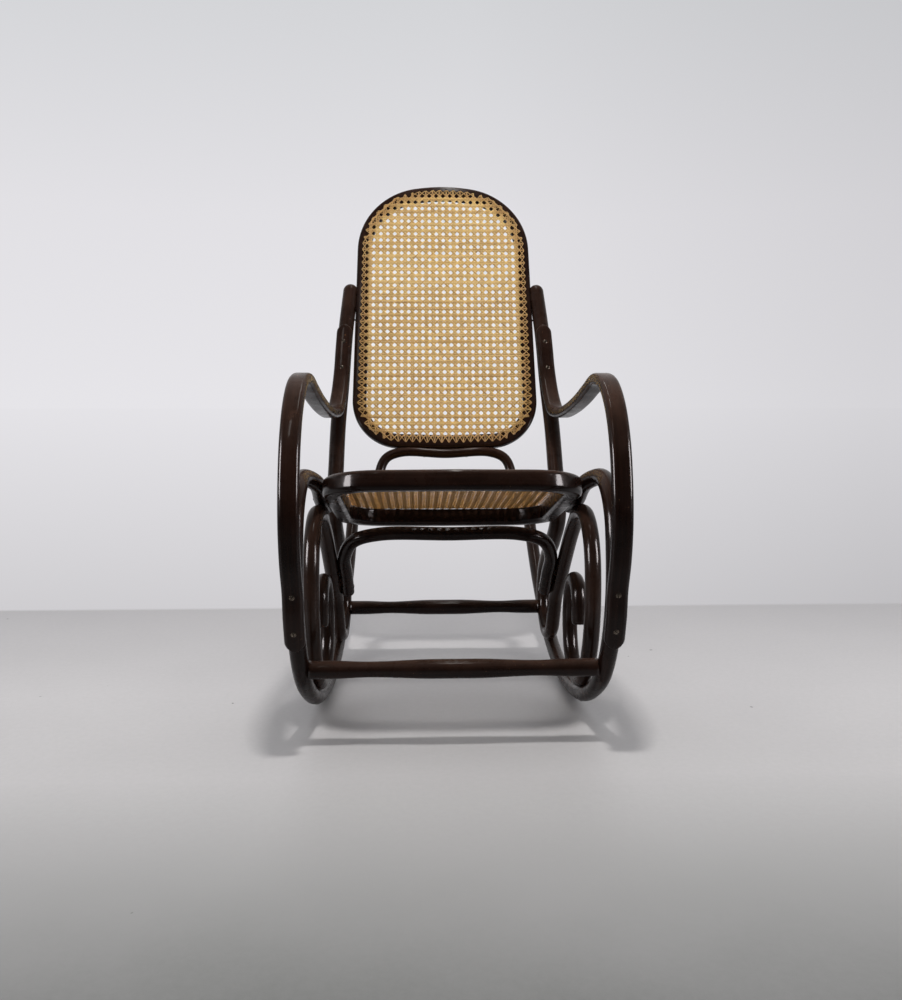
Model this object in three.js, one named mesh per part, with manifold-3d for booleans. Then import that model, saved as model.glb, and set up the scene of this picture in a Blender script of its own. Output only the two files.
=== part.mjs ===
// A bentwood rocking chair with a caned seat and back.
// Millimetres, +Z up. The front of the chair faces -Y and the floor is z = 0.
// The origin is on the floor, midway between the front of the arms and the tails of the runners.

import * as THREE from 'three';
import { mergeVertices } from 'three/addons/utils/BufferGeometryUtils.js';
import Module from 'manifold-3d';

const wasm = await Module();
wasm.setup();

// Overall sizes of the chair
const chairDepth = 1010;
const chairHeight = 1072;

// Where the seat's front edge and the foot of the back stand, as shares of the chair's depth and height
const seatFrontShares = [-0.424, 0.4437];
const backBaseShares = [0.0753, 0.4478];

// Seat ring
const seatFrontWidth = 444;
const seatRearWidth = 450;
const seatDepth = 510;
const seatTilt = 14.85;
const seatRailHeight = 34;
const seatRailWidth = 31;
const seatFrontCorner = 100;
const seatRearCorner = 100;
const seatFrontBow = 8;
const seatRearBow = 8;
const seatEasing = 5;

// Back frame
const backBottomWidth = 406;
const backTopWidth = 380;
const backLean = 18.5;
const backRailWidth = 30;
const backRailThickness = 22;
const backTopCorner = 155;
const backBottomCorner = 104;
const backTopBow = 26;
const backBottomBow = 6;
const backEasing = 4;

// Caning
const caneThickness = 1.6;
const backCaneOverlap = 20;
const seatCaneOverlap = 7;
const caneStrand = 18;
const caneHole = 32;

// Bent rails
const runnerDiameter = 30;
const scrollDiameter = 29;
const stileTopDiameter = 33;
const armWidth = 34;
const armThickness = 20;
const armCorner = 8;
const underArchDiameter = 26.5;
const backArchDiameter = 21;
const sideStandOff = 12;
const scrollInset = 10;
const stileSeatAngle = 20;
const stileAhead = 10;
const toeInShare = 0.0356;
const railBite = 1.5;
const stileBite = 3.5;
const lapBite = 4;

// Stretchers
const stretcherMiddle = 33;
const stretcherWaist = 26.5;
const stretcherEnd = 30.5;
const tenonDiameter = 15;
const tenonLength = 17;

// Arches
const underArchCorner = 72;
const backArchWidth = 284;
const backArchCorner = 48;
const backArchSag = 3;
const archFootInset = 15;
const archDowelDiameter = 12;
const archDowelLength = 14;

// Screws
const screwDiameter = 4.5;
const screwHeadDiameter = 9;
const screwHeadHeight = 2.6;
const screwTip = 5;
const lapScrewLength = 34;
const railScrewLength = 46;
const archScrewLength = 38;

// Fits
const fitGap = 0.3;

// Turned and rounded forms, as shares of the size that each belongs to
const collarShare = 0.86;
const waistShare = 0.58;
const middleShare = 0.14;
const headDomeShare = 0.33;
const sawnShare = 0.25;
const bowRadiusShare = 5;
const crownRadiusShare = 2.4;
const stileTaperShares = [0.15, 0.35];
const weldShare = 0.001;
const searchEndShare = 0.000001;

// Facets
const rodSides = 10;
const stretcherSides = 14;
const screwSides = 8;
const stepsPerSpan = 2;
const roundSteps = 3;
const cornerSteps = 9;
const searchSteps = 300;

const materials = {
  lacquer: { color: 0x2e1f1b, roughness: 0.28, metalness: 0 },
  cane: { color: 0xd2ae74, roughness: 0.6, metalness: 0 },
  steel: { color: 0x8b8680, roughness: 0.4, metalness: 0.9 },
};

const acrossAxis = new THREE.Vector3(1, 0, 0);
const half = (size) => size / 2;
const radians = THREE.MathUtils.degToRad;

// Solids and cuts

function solidOf(geometry) {
  const bare = geometry.clone();
  bare.deleteAttribute('normal');
  bare.deleteAttribute('uv');
  const merged = mergeVertices(bare, fitGap * weldShare);
  return new wasm.Manifold(new wasm.Mesh({
    numProp: 3,
    vertProperties: merged.attributes.position.array,
    triVerts: Uint32Array.from(merged.index.array),
  }));
}

function geometryOf(solid) {
  const mesh = solid.getMesh();
  const geometry = new THREE.BufferGeometry();
  geometry.setAttribute('position', new THREE.BufferAttribute(mesh.vertProperties, 3));
  geometry.setIndex(new THREE.BufferAttribute(mesh.triVerts, 1));
  geometry.computeVertexNormals();
  return geometry;
}

function cut(geometry, tools) {
  let solid = solidOf(geometry);
  for (const tool of tools) {
    solid = solid.subtract(solidOf(tool));
  }
  return geometryOf(solid);
}

// Closed solid through rings of equally many points, with flat ends.
function loft(rings) {
  const count = rings[0].length;
  const points = rings.flat();
  const faces = [];
  for (let ring = 0; ring + 1 < rings.length; ring += 1) {
    for (let side = 0; side < count; side += 1) {
      const next = (side + 1) % count;
      const a = ring * count + side;
      const b = ring * count + next;
      faces.push(a, b + count, b, a, a + count, b + count);
    }
  }
  const last = (rings.length - 1) * count;
  for (let side = 1; side + 1 < count; side += 1) {
    faces.push(0, side, side + 1, last, last + side + 1, last + side);
  }
  const geometry = new THREE.BufferGeometry().setFromPoints(points);
  geometry.setIndex(faces);
  geometry.computeVertexNormals();
  return geometry;
}

function mirrored(geometry) {
  const copy = geometry.clone().scale(-1, 1, 1);
  const index = copy.index.array;
  for (let face = 0; face < index.length; face += 3) {
    [index[face + 1], index[face + 2]] = [index[face + 2], index[face + 1]];
  }
  copy.computeVertexNormals();
  return copy;
}

// Sections of a rail, as points [across, outward] round its centre line

function roundSection(diameter) {
  const points = [];
  for (let side = 0; side < rodSides; side += 1) {
    const angle = (2 * Math.PI * (side + 0.5)) / rodSides;
    points.push([half(diameter) * Math.cos(angle), half(diameter) * Math.sin(angle)]);
  }
  return points;
}

function flatSection(width, thickness, corner) {
  const x = half(width);
  const y = half(thickness);
  const soft = corner * (1 - Math.SQRT1_2);
  return [
    [x, -y + corner], [x, y - corner], [x - soft, y - soft], [x - corner, y],
    [-x + corner, y], [-x + soft, y - soft], [-x, y - corner], [-x, -y + corner],
    [-x + soft, -y + soft], [-x + corner, -y], [x - corner, -y], [x - soft, -y + soft],
  ];
}

// A rail bent along a curve, with its sections kept square to a level axis.
// Each end goes past the curve by a rounding whose sections shrink by the quarter circle.
function bentRail(curve, sectionAt, ends, levelAxis = acrossAxis) {
  const spans = curve.points.length - 1;
  const steps = spans * stepsPerSpan;
  const rings = [];
  const ringAt = (share, push, shrink) => {
    const tangent = curve.getTangent(share);
    const centre = curve.getPoint(share).addScaledVector(tangent, push);
    const outward = new THREE.Vector3().crossVectors(levelAxis, tangent).normalize();
    const across = new THREE.Vector3().crossVectors(tangent, outward);
    return sectionAt(share).map(([u, v]) => centre.clone()
      .addScaledVector(across, u * shrink.across)
      .addScaledVector(outward, v * shrink.outward));
  };
  for (let step = roundSteps; step > 0; step -= 1) {
    const angle = (half(Math.PI) * step) / (roundSteps + 0.5);
    rings.push(ringAt(0, -ends.start.length * Math.sin(angle), ends.start.shrink(Math.cos(angle))));
  }
  for (let step = 0; step <= steps; step += 1) {
    rings.push(ringAt(step / steps, 0, { across: 1, outward: 1 }));
  }
  for (let step = 1; step <= roundSteps; step += 1) {
    const angle = (half(Math.PI) * step) / (roundSteps + 0.5);
    rings.push(ringAt(1, ends.finish.length * Math.sin(angle), ends.finish.shrink(Math.cos(angle))));
  }
  return loft(rings);
}

const domeEnd = (length) => ({ length, shrink: (share) => ({ across: share, outward: share }) });
const tongueEnd = (length) => ({ length, shrink: (share) => ({ across: share, outward: 1 }) });
const eased = (share) => 1 - (1 - share) * sawnShare;
const sawnEnd = (length) => ({
  length,
  shrink: (share) => ({ across: eased(share), outward: eased(share) }),
});

function splineThrough(points) {
  return new THREE.CatmullRomCurve3(points, false, 'centripetal');
}

// Outline with rounded corners, from corners [x, y, radius] in anticlockwise order, moved in by an inset.
function roundedOutline(corners, inset) {
  const count = corners.length;
  const lines = corners.map(([x, y], index) => {
    const [nextX, nextY] = corners[(index + 1) % count];
    const along = new THREE.Vector2(nextX - x, nextY - y).normalize();
    const inward = new THREE.Vector2(-along.y, along.x);
    return { start: new THREE.Vector2(x, y).addScaledVector(inward, inset), along };
  });
  const outline = [];
  corners.forEach(([, , radius], index) => {
    const before = lines[(index + count - 1) % count];
    const after = lines[index];
    const gap = new THREE.Vector2().subVectors(after.start, before.start);
    const reach = gap.cross(after.along) / before.along.cross(after.along);
    const corner = before.start.clone().addScaledVector(before.along, reach);
    const turn = Math.atan2(before.along.cross(after.along), before.along.dot(after.along));
    const arcRadius = radius - inset;
    const back = arcRadius * Math.tan(half(turn));
    const side = new THREE.Vector2(-before.along.y, before.along.x);
    const centre = corner.clone()
      .addScaledVector(before.along, -back)
      .addScaledVector(side, arcRadius);
    const first = Math.atan2(-side.y, -side.x);
    const steps = Math.max(2, Math.round((cornerSteps * turn) / half(Math.PI)));
    for (let step = 0; step <= steps; step += 1) {
      const angle = first + (turn * step) / steps;
      outline.push(new THREE.Vector2(
        centre.x + arcRadius * Math.cos(angle),
        centre.y + arcRadius * Math.sin(angle),
      ));
    }
  });
  return outline;
}

// Flat bent ring: an outline with a like-shaped opening and eased edges.
function bentRing(corners, railWidth, thickness, easing) {
  const shape = new THREE.Shape(roundedOutline(corners, 0));
  shape.holes.push(new THREE.Path(roundedOutline(corners, railWidth).reverse()));
  const ring = new THREE.ExtrudeGeometry(shape, {
    depth: thickness - 2 * easing,
    bevelThickness: easing,
    bevelSize: easing,
    bevelOffset: -easing,
    bevelSegments: 2,
    curveSegments: 1,
  });
  return ring.translate(0, 0, easing);
}

// Open woven sheet, drawn coarser than the real caning, with one square gap for many of its gaps
function caneSheet(corners, inset) {
  const outline = roundedOutline(corners, inset);
  const edge = roundedOutline(corners, inset + caneStrand + half(caneHole));
  const pitch = caneHole + caneStrand;
  const reachX = Math.max(...outline.map((point) => point.x));
  const lowY = Math.min(...outline.map((point) => point.y));
  const highY = Math.max(...outline.map((point) => point.y));
  const columns = Math.floor((2 * reachX) / pitch);
  const rows = Math.floor((highY - lowY) / pitch);
  const middleY = half(lowY + highY);
  const gaps = [];
  for (let row = 0; row < rows; row += 1) {
    for (let column = 0; column < columns; column += 1) {
      const x = (column - half(columns - 1)) * pitch;
      const y = middleY + (row - half(rows - 1)) * pitch;
      if (isInside(edge, x, y)) {
        gaps.push(new THREE.BoxGeometry(caneHole, caneHole, pitch).translate(x, y, 0));
      }
    }
  }
  const shape = new THREE.Shape(outline);
  const sheet = new THREE.ExtrudeGeometry(shape, { depth: caneThickness, bevelEnabled: false });
  return cut(sheet, gaps);
}

function isInside(outline, x, y) {
  let inside = false;
  outline.forEach((point, index) => {
    const other = outline[(index + 1) % outline.length];
    const crosses = (point.y > y) !== (other.y > y);
    if (crosses && x < ((other.x - point.x) * (y - point.y)) / (other.y - point.y) + point.x) {
      inside = !inside;
    }
  });
  return inside;
}

// Frames of the seat and of the back: x across, y along the panel, z out of its show face

const seatPlace = new THREE.Group();
seatPlace.position.set(0, seatFrontShares[0] * chairDepth, seatFrontShares[1] * chairHeight);
seatPlace.rotation.x = -radians(seatTilt);
seatPlace.updateMatrixWorld(true);

const backPlace = new THREE.Group();
backPlace.position.set(0, backBaseShares[0] * chairDepth, backBaseShares[1] * chairHeight);
backPlace.rotation.x = half(Math.PI) - radians(backLean);
backPlace.updateMatrixWorld(true);

// The back's length along its slope, up to the top of the chair
const backHeight = (chairHeight - backPlace.position.z) / Math.cos(radians(backLean));

const seatCorners = [
  [-half(seatFrontWidth), seatFrontBow, seatFrontCorner],
  [0, 0, bowRadiusShare * seatFrontCorner],
  [half(seatFrontWidth), seatFrontBow, seatFrontCorner],
  [half(seatRearWidth), seatDepth - seatRearBow, seatRearCorner],
  [0, seatDepth, bowRadiusShare * seatRearCorner],
  [-half(seatRearWidth), seatDepth - seatRearBow, seatRearCorner],
];
const backCorners = [
  [-half(backBottomWidth), backBottomBow, backBottomCorner],
  [0, 0, bowRadiusShare * backBottomCorner],
  [half(backBottomWidth), backBottomBow, backBottomCorner],
  [half(backTopWidth), backHeight - backTopBow, backTopCorner],
  [0, backHeight, crownRadiusShare * backTopCorner],
  [-half(backTopWidth), backHeight - backTopBow, backTopCorner],
];

const seatPoint = (x, y, z) => new THREE.Vector3(x, y, z).applyMatrix4(seatPlace.matrixWorld);
const backPoint = (x, y, z) => new THREE.Vector3(x, y, z).applyMatrix4(backPlace.matrixWorld);

function halfWidthAt(corners, y) {
  const [frontX, frontY] = corners[2];
  const [rearX, rearY] = corners[3];
  return frontX + ((rearX - frontX) * (y - frontY)) / (rearY - frontY);
}

// Side frames: each lies in an upright plane, and the planes draw a little together towards the back.
// The runner's end bends in from its plane to meet the seat ring.
const meetingShares = [0.288, 0.47, 0.615];
const meetingHeightShares = [0, -0.5, -0.5];
const meetingBites = [0, railBite, railBite];
const meetingPoints = meetingShares.map((share, index) => {
  const y = share * seatDepth;
  const x = halfWidthAt(seatCorners, y) + half(runnerDiameter) - meetingBites[index];
  return seatPoint(x, y, meetingHeightShares[index] * seatRailHeight);
});
const planeAt = meetingPoints[1];
const sideX = (y) => planeAt.x + sideStandOff - toeInShare * (y - planeAt.y);
const sidePoint = ([y, z, inwardShare = 0]) => new THREE.Vector3(
  sideX(y * chairDepth) - inwardShare * scrollInset,
  y * chairDepth,
  z * chairHeight,
);

// The share along a curve where it passes closest to a place in the side view
function shareNear(curve, [y, z]) {
  const gapAt = (share) => {
    const point = curve.getPoint(share);
    return Math.hypot(point.y - y * chairDepth, point.z - z * chairHeight);
  };
  let best = 0;
  let reach = 1;
  while (reach > searchEndShare) {
    const low = Math.max(0, best - reach);
    const step = (Math.min(1, best + reach) - low) / searchSteps;
    for (let count = 0; count <= searchSteps; count += 1) {
      const share = low + count * step;
      if (gapAt(share) < gapAt(best)) {
        best = share;
      }
    }
    reach = step;
  }
  return best;
}

// Point beside a curve in the plane of the side frame: a positive distance is outside the bend
function beside(curve, share, distance) {
  const tangent = curve.getTangent(share);
  const outward = new THREE.Vector3().crossVectors(acrossAxis, tangent).normalize();
  return curve.getPoint(share).addScaledVector(outward, distance);
}
const besideNear = (curve, place, distance) => beside(curve, shareNear(curve, place), distance);

// Runner: from its tail down to the floor, forward, up under the arm, over and down along the seat ring.
// Shares of the chair's depth and height.
const floorShare = half(runnerDiameter) / chairHeight;
const runnerShares = [
  [0.4855, 0.311], [0.406, 0.230], [0.289, 0.138], [0.132, 0.053], [-0.003, 0.0195],
  [-0.084, floorShare], [-0.216, 0.029], [-0.310, 0.064], [-0.384, 0.112], [-0.429, 0.177],
  [-0.449, 0.247], [-0.447, 0.313], [-0.431, 0.373], [-0.394, 0.411], [-0.340, 0.423],
];
const runnerCurve = splineThrough([...runnerShares.map(sidePoint), ...meetingPoints]);

// Stile and scroll, one rod: down the side of the back, past the seat, round a turn on the runner,
// forward and over the loop under the runner's end, down to the runner again and round the small spiral.
const stileToBack = half(stileTopDiameter) - stileBite;
const alongBack = ([share, standOffShare]) => {
  const y = share * backHeight;
  const x = halfWidthAt(backCorners, y) + stileToBack + standOffShare * sideStandOff;
  return backPoint(x, y, standOffShare * stileAhead - half(backRailThickness));
};
const seatCornerReach = seatRearCorner + half(stileTopDiameter) - railBite;
const stileAtSeat = seatPoint(
  half(seatRearWidth) - seatRearCorner + seatCornerReach * Math.cos(radians(stileSeatAngle)),
  seatDepth - seatRearBow - seatRearCorner + seatCornerReach * Math.sin(radians(stileSeatAngle)),
  -half(seatRailHeight),
);
const runnerToScroll = half(runnerDiameter) + half(scrollDiameter) - railBite;
const insetRise = Math.sqrt(runnerToScroll ** 2 - scrollInset ** 2);
const insetPoint = (place) => sidePoint([...place, 1]);
const onRunner = (place) => {
  const point = besideNear(runnerCurve, place, -insetRise);
  return point.setX(point.x - scrollInset);
};
const turnFoot = [0.098, 0.040];
const scrollFoot = [-0.2485, 0.039];
const loopCrown = [-0.213, 0.375];
const stileBackShares = [[0.585, 0], [0.420, 0.6], [0.240, 0.9]];
const lowerStileShares = [[0.076, 0.494], [0.032, 0.417]];
const turnShares = [[0.045, 0.263], [0.106, 0.224], [0.142, 0.189], [0.158, 0.147], [0.144, 0.098]];
const riseShares = [
  [0.0465, 0.082], [0.025, 0.119], [0.005, 0.157], [-0.043, 0.203],
  [-0.087, 0.247], [-0.1465, 0.303], [-0.193, 0.338],
];
const loopShares = [
  [-0.270, 0.3545], [-0.312, 0.328], [-0.332, 0.291], [-0.340, 0.241],
  [-0.338, 0.191], [-0.325, 0.142], [-0.298, 0.097],
];
const spiralShares = [
  [-0.193, 0.067], [-0.159, 0.098], [-0.145, 0.145], [-0.1515, 0.193],
  [-0.181, 0.227], [-0.219, 0.217], [-0.234, 0.164],
];
const scrollCurve = splineThrough([
  ...stileBackShares.map(alongBack),
  ...lowerStileShares.map(insetPoint),
  stileAtSeat,
  ...turnShares.map(insetPoint),
  onRunner(turnFoot),
  ...riseShares.map(insetPoint),
  besideNear(runnerCurve, loopCrown, -runnerToScroll),
  ...loopShares.map(insetPoint),
  onRunner(scrollFoot),
  ...spiralShares.map(insetPoint),
]);

// Arm: flat on the front of the stile, down to the dip, forward, over the arch and down onto the runner
const stileToArm = half(scrollDiameter) + half(armThickness) - lapBite;
const runnerToArm = half(runnerDiameter) + half(armThickness) - lapBite;
const stileLaps = [[0.152, 0.675], [0.133, 0.638], [0.116, 0.602]];
const runnerLaps = [[-0.449, 0.264], [-0.4445, 0.230], [-0.436, 0.195]];
const armShares = [
  [0.078, 0.552, 1.2], [0.042, 0.524, 0.9], [-0.013, 0.519, 0.6], [-0.102, 0.529, 0.3],
  [-0.191, 0.547, 0.1], [-0.255, 0.564], [-0.320, 0.579], [-0.381, 0.570], [-0.429, 0.537],
  [-0.463, 0.487], [-0.482, 0.429], [-0.490, 0.368], [-0.484, 0.312],
];
const armCurve = splineThrough([
  ...stileLaps.map((place) => besideNear(scrollCurve, place, -stileToArm)),
  ...armShares.map(sidePoint),
  ...runnerLaps.map((place) => besideNear(runnerCurve, place, runnerToArm)),
]);

// Solids of the bent rails, made larger by a growth where a neighbour is cut to fit them

const runnerSolid = (growth = 0) => bentRail(
  runnerCurve,
  () => roundSection(runnerDiameter + 2 * growth),
  { start: domeEnd(half(runnerDiameter) + growth), finish: domeEnd(half(runnerDiameter) + growth) },
);

const scrollSolid = (growth = 0) => bentRail(
  scrollCurve,
  (share) => {
    const fill = THREE.MathUtils.smoothstep(share, ...stileTaperShares);
    const diameter = THREE.MathUtils.lerp(stileTopDiameter, scrollDiameter, fill);
    return roundSection(diameter + 2 * growth);
  },
  { start: domeEnd(half(stileTopDiameter) + growth), finish: sawnEnd(armCorner + growth) },
);

const armSolid = (growth = 0) => bentRail(
  armCurve,
  () => flatSection(armWidth + 2 * growth, armThickness + 2 * growth, armCorner + growth),
  { start: tongueEnd(half(armWidth) + growth), finish: tongueEnd(half(armWidth) + growth) },
);

// Arches: two legs and a bar, bent in a plane through a foot on each side and a crown between them
function archCurve(foot, crown, corner, sag) {
  const rise = new THREE.Vector3().subVectors(crown, foot).setX(0);
  const height = rise.length();
  rise.normalize();
  const place = (x, along) => new THREE.Vector3(x, foot.y, foot.z).addScaledVector(rise, along);
  const leg = foot.x;
  const bend = corner * (1 - Math.SQRT1_2);
  const rightHalf = [
    place(leg, 0),
    place(leg, half(height - corner)),
    place(leg, height - corner),
    place(leg - bend, height - bend),
    place(leg - corner, height),
  ];
  const leftHalf = rightHalf.map((point) => point.clone().setX(-point.x)).reverse();
  const curve = splineThrough([...rightHalf, place(0, height - sag), ...leftHalf]);
  const normal = new THREE.Vector3().crossVectors(acrossAxis, rise);
  return { curve, normal };
}

const underArchFootShares = [-0.011, 0.173];
const underArchCrownShares = [-0.140, 0.304];
const underArchFoot = scrollCurve.getPoint(shareNear(scrollCurve, underArchFootShares));
underArchFoot.x -= half(scrollDiameter) + half(underArchDiameter) - railBite;
const underArchCrown = sidePoint(underArchCrownShares);
const underArch = archCurve(underArchFoot, underArchCrown, underArchCorner, 0);

const backArchFoot = seatPoint(half(backArchWidth), seatDepth - archFootInset, 0);
const backArchCrown = backPoint(
  0,
  railBite - half(backArchDiameter) + backArchSag,
  -half(backRailThickness),
);
const backArch = archCurve(backArchFoot, backArchCrown, backArchCorner, backArchSag);

const archSolid = (arch, diameter, growth = 0) => bentRail(
  arch.curve,
  () => roundSection(diameter + 2 * growth),
  { start: sawnEnd(railBite + growth), finish: sawnEnd(railBite + growth) },
  arch.normal,
);

// Turned pieces

function turned(profile, segments) {
  return new THREE.LatheGeometry(profile.map(([x, y]) => new THREE.Vector2(x, y)), segments);
}

// Stretcher between two rails whose centre lines lie at x = reach, with shoulders cut to the rails later
function stretcherBarrel(reach, at) {
  const profile = [
    [0, -reach],
    [half(stretcherEnd), -reach],
    [half(stretcherEnd), -reach * collarShare],
    [half(stretcherWaist), -reach * waistShare],
    [half(stretcherMiddle), -reach * middleShare],
    [half(stretcherMiddle), reach * middleShare],
    [half(stretcherWaist), reach * waistShare],
    [half(stretcherEnd), reach * collarShare],
    [half(stretcherEnd), reach],
    [0, reach],
  ];
  return turned(profile, stretcherSides).rotateZ(-half(Math.PI)).translate(0, at.y, at.z);
}

// Round peg along a direction, half of it on each side of its centre
function peg(centre, direction, diameter, length, growth = 0) {
  const radius = half(diameter) + growth;
  const reach = length + growth;
  const turn = new THREE.Quaternion().setFromUnitVectors(new THREE.Vector3(0, 1, 0), direction);
  return turned([[0, -reach], [radius, -reach], [radius, reach], [0, reach]], rodSides)
    .applyQuaternion(turn)
    .translate(centre.x, centre.y, centre.z);
}

// Screw along a direction into the wood, its domed head level with the surface point
function screw(point, direction, length, growth = 0) {
  const shank = half(screwDiameter) + growth;
  const head = half(screwHeadDiameter) + growth;
  const dome = screwHeadHeight * headDomeShare;
  const profile = [
    [0, -dome - growth],
    [head, -growth],
    [head, growth],
    [shank, screwHeadHeight],
    [shank, length - screwTip],
    [0, length + growth],
  ];
  const turn = new THREE.Quaternion().setFromUnitVectors(new THREE.Vector3(0, 1, 0), direction);
  return turned(profile, screwSides).applyQuaternion(turn).translate(point.x, point.y, point.z);
}

// Places of the stretchers and screws. The two on the back frame are shares along the back and of
// the stile's stand-off, and the others shares of the chair's depth and height.
const frontStretcherShares = [-0.404, 0.122];
const rearStretcherShares = [0.148, 0.107];
const screwShares = {
  armTop: [0.141, 0.656],
  armLap: [0.117, 0.604],
  armFront: [-0.470, 0.260],
  armFoot: [-0.458, 0.204],
  backUpper: [0.545, 0],
  backLower: [0.475, 0.25],
  seatFront: [-0.217, 0.375],
  seatRear: [-0.143, 0.358],
  loop: [-0.203, 0.344],
  turn: [0.118, 0.049],
  scrollFoot: [-0.222, 0.029],
};
const archLegShare = 0.03;

const frontStretcherAt = runnerCurve.getPoint(shareNear(runnerCurve, frontStretcherShares));
const rearStretcherAt = scrollCurve.getPoint(shareNear(scrollCurve, rearStretcherShares));

const towards = (from, to) => new THREE.Vector3().subVectors(to, from).normalize();
const alongOutward = (curve, share) => new THREE.Vector3()
  .crossVectors(acrossAxis, curve.getTangent(share)).normalize();

// Screw through a bent rail at a share along it, entering from the given side of the rail
function railScrew(curve, place, thickness, length, side) {
  const share = shareNear(curve, place);
  const inward = alongOutward(curve, share).multiplyScalar(-side);
  const point = curve.getPoint(share).addScaledVector(inward, -half(thickness));
  return (growth) => screw(point, inward, length, growth);
}

// Screw straight across the chair, from the outside of a side frame
function crossScrew(point, diameter, length) {
  const surface = point.clone().setX(point.x + half(diameter));
  return (growth) => screw(surface, acrossAxis.clone().negate(), length, growth);
}

const seatScrew = (place) => {
  const point = runnerCurve.getPoint(shareNear(runnerCurve, place));
  return crossScrew(point, runnerDiameter, railScrewLength);
};

const stileInCorner = shareNear(scrollCurve, [stileAtSeat.y / chairDepth, stileAtSeat.z / chairHeight]);
const seatCornerMiddle = seatPoint(
  half(seatRearWidth) - seatRearCorner,
  seatDepth - seatRearBow - seatRearCorner,
  -half(seatRailHeight),
);
const stileCentre = scrollCurve.getPoint(stileInCorner);
const intoCorner = towards(stileCentre, seatCornerMiddle);
const legCentre = underArch.curve.getPoint(archLegShare);

// Each screw: its maker and the pieces that it passes through
const sideScrews = {
  arm_to_stile_screw_upper: {
    make: railScrew(armCurve, screwShares.armTop, armThickness, lapScrewLength, -1),
    through: ['arm', 'scroll'],
  },
  arm_to_stile_screw_lower: {
    make: railScrew(armCurve, screwShares.armLap, armThickness, lapScrewLength, -1),
    through: ['arm', 'scroll'],
  },
  arm_to_runner_screw_upper: {
    make: railScrew(armCurve, screwShares.armFront, armThickness, lapScrewLength, -1),
    through: ['arm', 'runner'],
  },
  arm_to_runner_screw_lower: {
    make: railScrew(armCurve, screwShares.armFoot, armThickness, lapScrewLength, -1),
    through: ['arm', 'runner'],
  },
  stile_to_back_screw_upper: {
    make: crossScrew(alongBack(screwShares.backUpper), stileTopDiameter, railScrewLength),
    through: ['scroll', 'back_frame'],
  },
  stile_to_back_screw_lower: {
    make: crossScrew(alongBack(screwShares.backLower), stileTopDiameter, railScrewLength),
    through: ['scroll', 'back_frame'],
  },
  stile_to_seat_screw: {
    make: (growth) => screw(
      stileCentre.clone().addScaledVector(intoCorner, -half(stileTopDiameter)),
      intoCorner,
      railScrewLength,
      growth,
    ),
    through: ['scroll', 'seat_ring'],
  },
  runner_to_seat_screw_front: {
    make: seatScrew(screwShares.seatFront),
    through: ['runner', 'seat_ring'],
  },
  runner_to_seat_screw_rear: {
    make: seatScrew(screwShares.seatRear),
    through: ['runner', 'seat_ring'],
  },
  loop_to_runner_screw: {
    make: railScrew(scrollCurve, screwShares.loop, scrollDiameter, railScrewLength, -1),
    through: ['scroll', 'runner'],
  },
  turn_to_runner_screw: {
    make: railScrew(runnerCurve, screwShares.turn, runnerDiameter, railScrewLength, 1),
    through: ['runner', 'scroll'],
  },
  scroll_to_runner_screw: {
    make: railScrew(runnerCurve, screwShares.scrollFoot, runnerDiameter, railScrewLength, 1),
    through: ['runner', 'scroll'],
  },
  under_arch_screw: {
    make: (growth) => screw(
      legCentre.clone().setX(legCentre.x - half(underArchDiameter)),
      acrossAxis,
      archScrewLength,
      growth,
    ),
    through: ['under_seat_arch', 'scroll'],
  },
};

const backArchScrewReach = half(backArchWidth) - backArchCorner - half(screwHeadDiameter);
const intoBackFrame = towards(backPoint(0, 0, 0), backPoint(0, backHeight, 0));
const backArchScrew = (side) => (growth) => screw(
  backArchCrown.clone()
    .setX(side * half(backArchScrewReach))
    .addScaledVector(intoBackFrame, -half(backArchDiameter)),
  intoBackFrame,
  archScrewLength,
  growth,
);

// Everything that a piece is cut by: both sides of what meets it

const bothSides = (geometry) => [geometry, mirrored(geometry)];
const throughScrews = (piece) => Object.values(sideScrews)
  .filter((item) => item.through.includes(piece))
  .map((item) => item.make(fitGap));

const inSeat = (geometry) => geometry.applyMatrix4(seatPlace.matrixWorld);
const inBack = (geometry) => geometry.applyMatrix4(backPlace.matrixWorld);
const grownRing = (corners, railWidth, thickness) => {
  const shape = new THREE.Shape(roundedOutline(corners, -fitGap));
  shape.holes.push(new THREE.Path(roundedOutline(corners, railWidth + fitGap).reverse()));
  const ring = new THREE.ExtrudeGeometry(shape, { depth: thickness + 2 * fitGap, bevelEnabled: false });
  return ring.translate(0, 0, -thickness - fitGap);
};

const seatRing = inSeat(bentRing(seatCorners, seatRailWidth, seatRailHeight, seatEasing)
  .translate(0, 0, -seatRailHeight));
const backRing = inBack(bentRing(backCorners, backRailWidth, backRailThickness, backEasing)
  .translate(0, 0, -backRailThickness));
const grownSeatRing = inSeat(grownRing(seatCorners, seatRailWidth, seatRailHeight));
const grownBackRing = inBack(grownRing(backCorners, backRailWidth, backRailThickness));

const stretcherTenon = (at, diameter, growth) => peg(
  at.clone().setX(at.x - half(diameter)),
  acrossAxis,
  tenonDiameter,
  tenonLength,
  growth,
);
const frontTenon = (growth) => stretcherTenon(frontStretcherAt, runnerDiameter, growth);
const rearTenon = (growth) => stretcherTenon(rearStretcherAt, scrollDiameter, growth);
const backArchRise = towards(backArchFoot, backArchCrown.clone().setX(backArchFoot.x));
const backArchPeg = (growth) => peg(backArchFoot, backArchRise, archDowelDiameter, archDowelLength, growth);

const sideParts = {
  runner: cut(runnerSolid(), [
    armSolid(fitGap),
    grownSeatRing,
    frontTenon(fitGap),
    ...throughScrews('runner'),
  ]),
  scroll: cut(scrollSolid(), [
    runnerSolid(fitGap),
    armSolid(fitGap),
    grownSeatRing,
    grownBackRing,
    rearTenon(fitGap),
    ...throughScrews('scroll'),
  ]),
  arm: cut(armSolid(), throughScrews('arm')),
};

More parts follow.
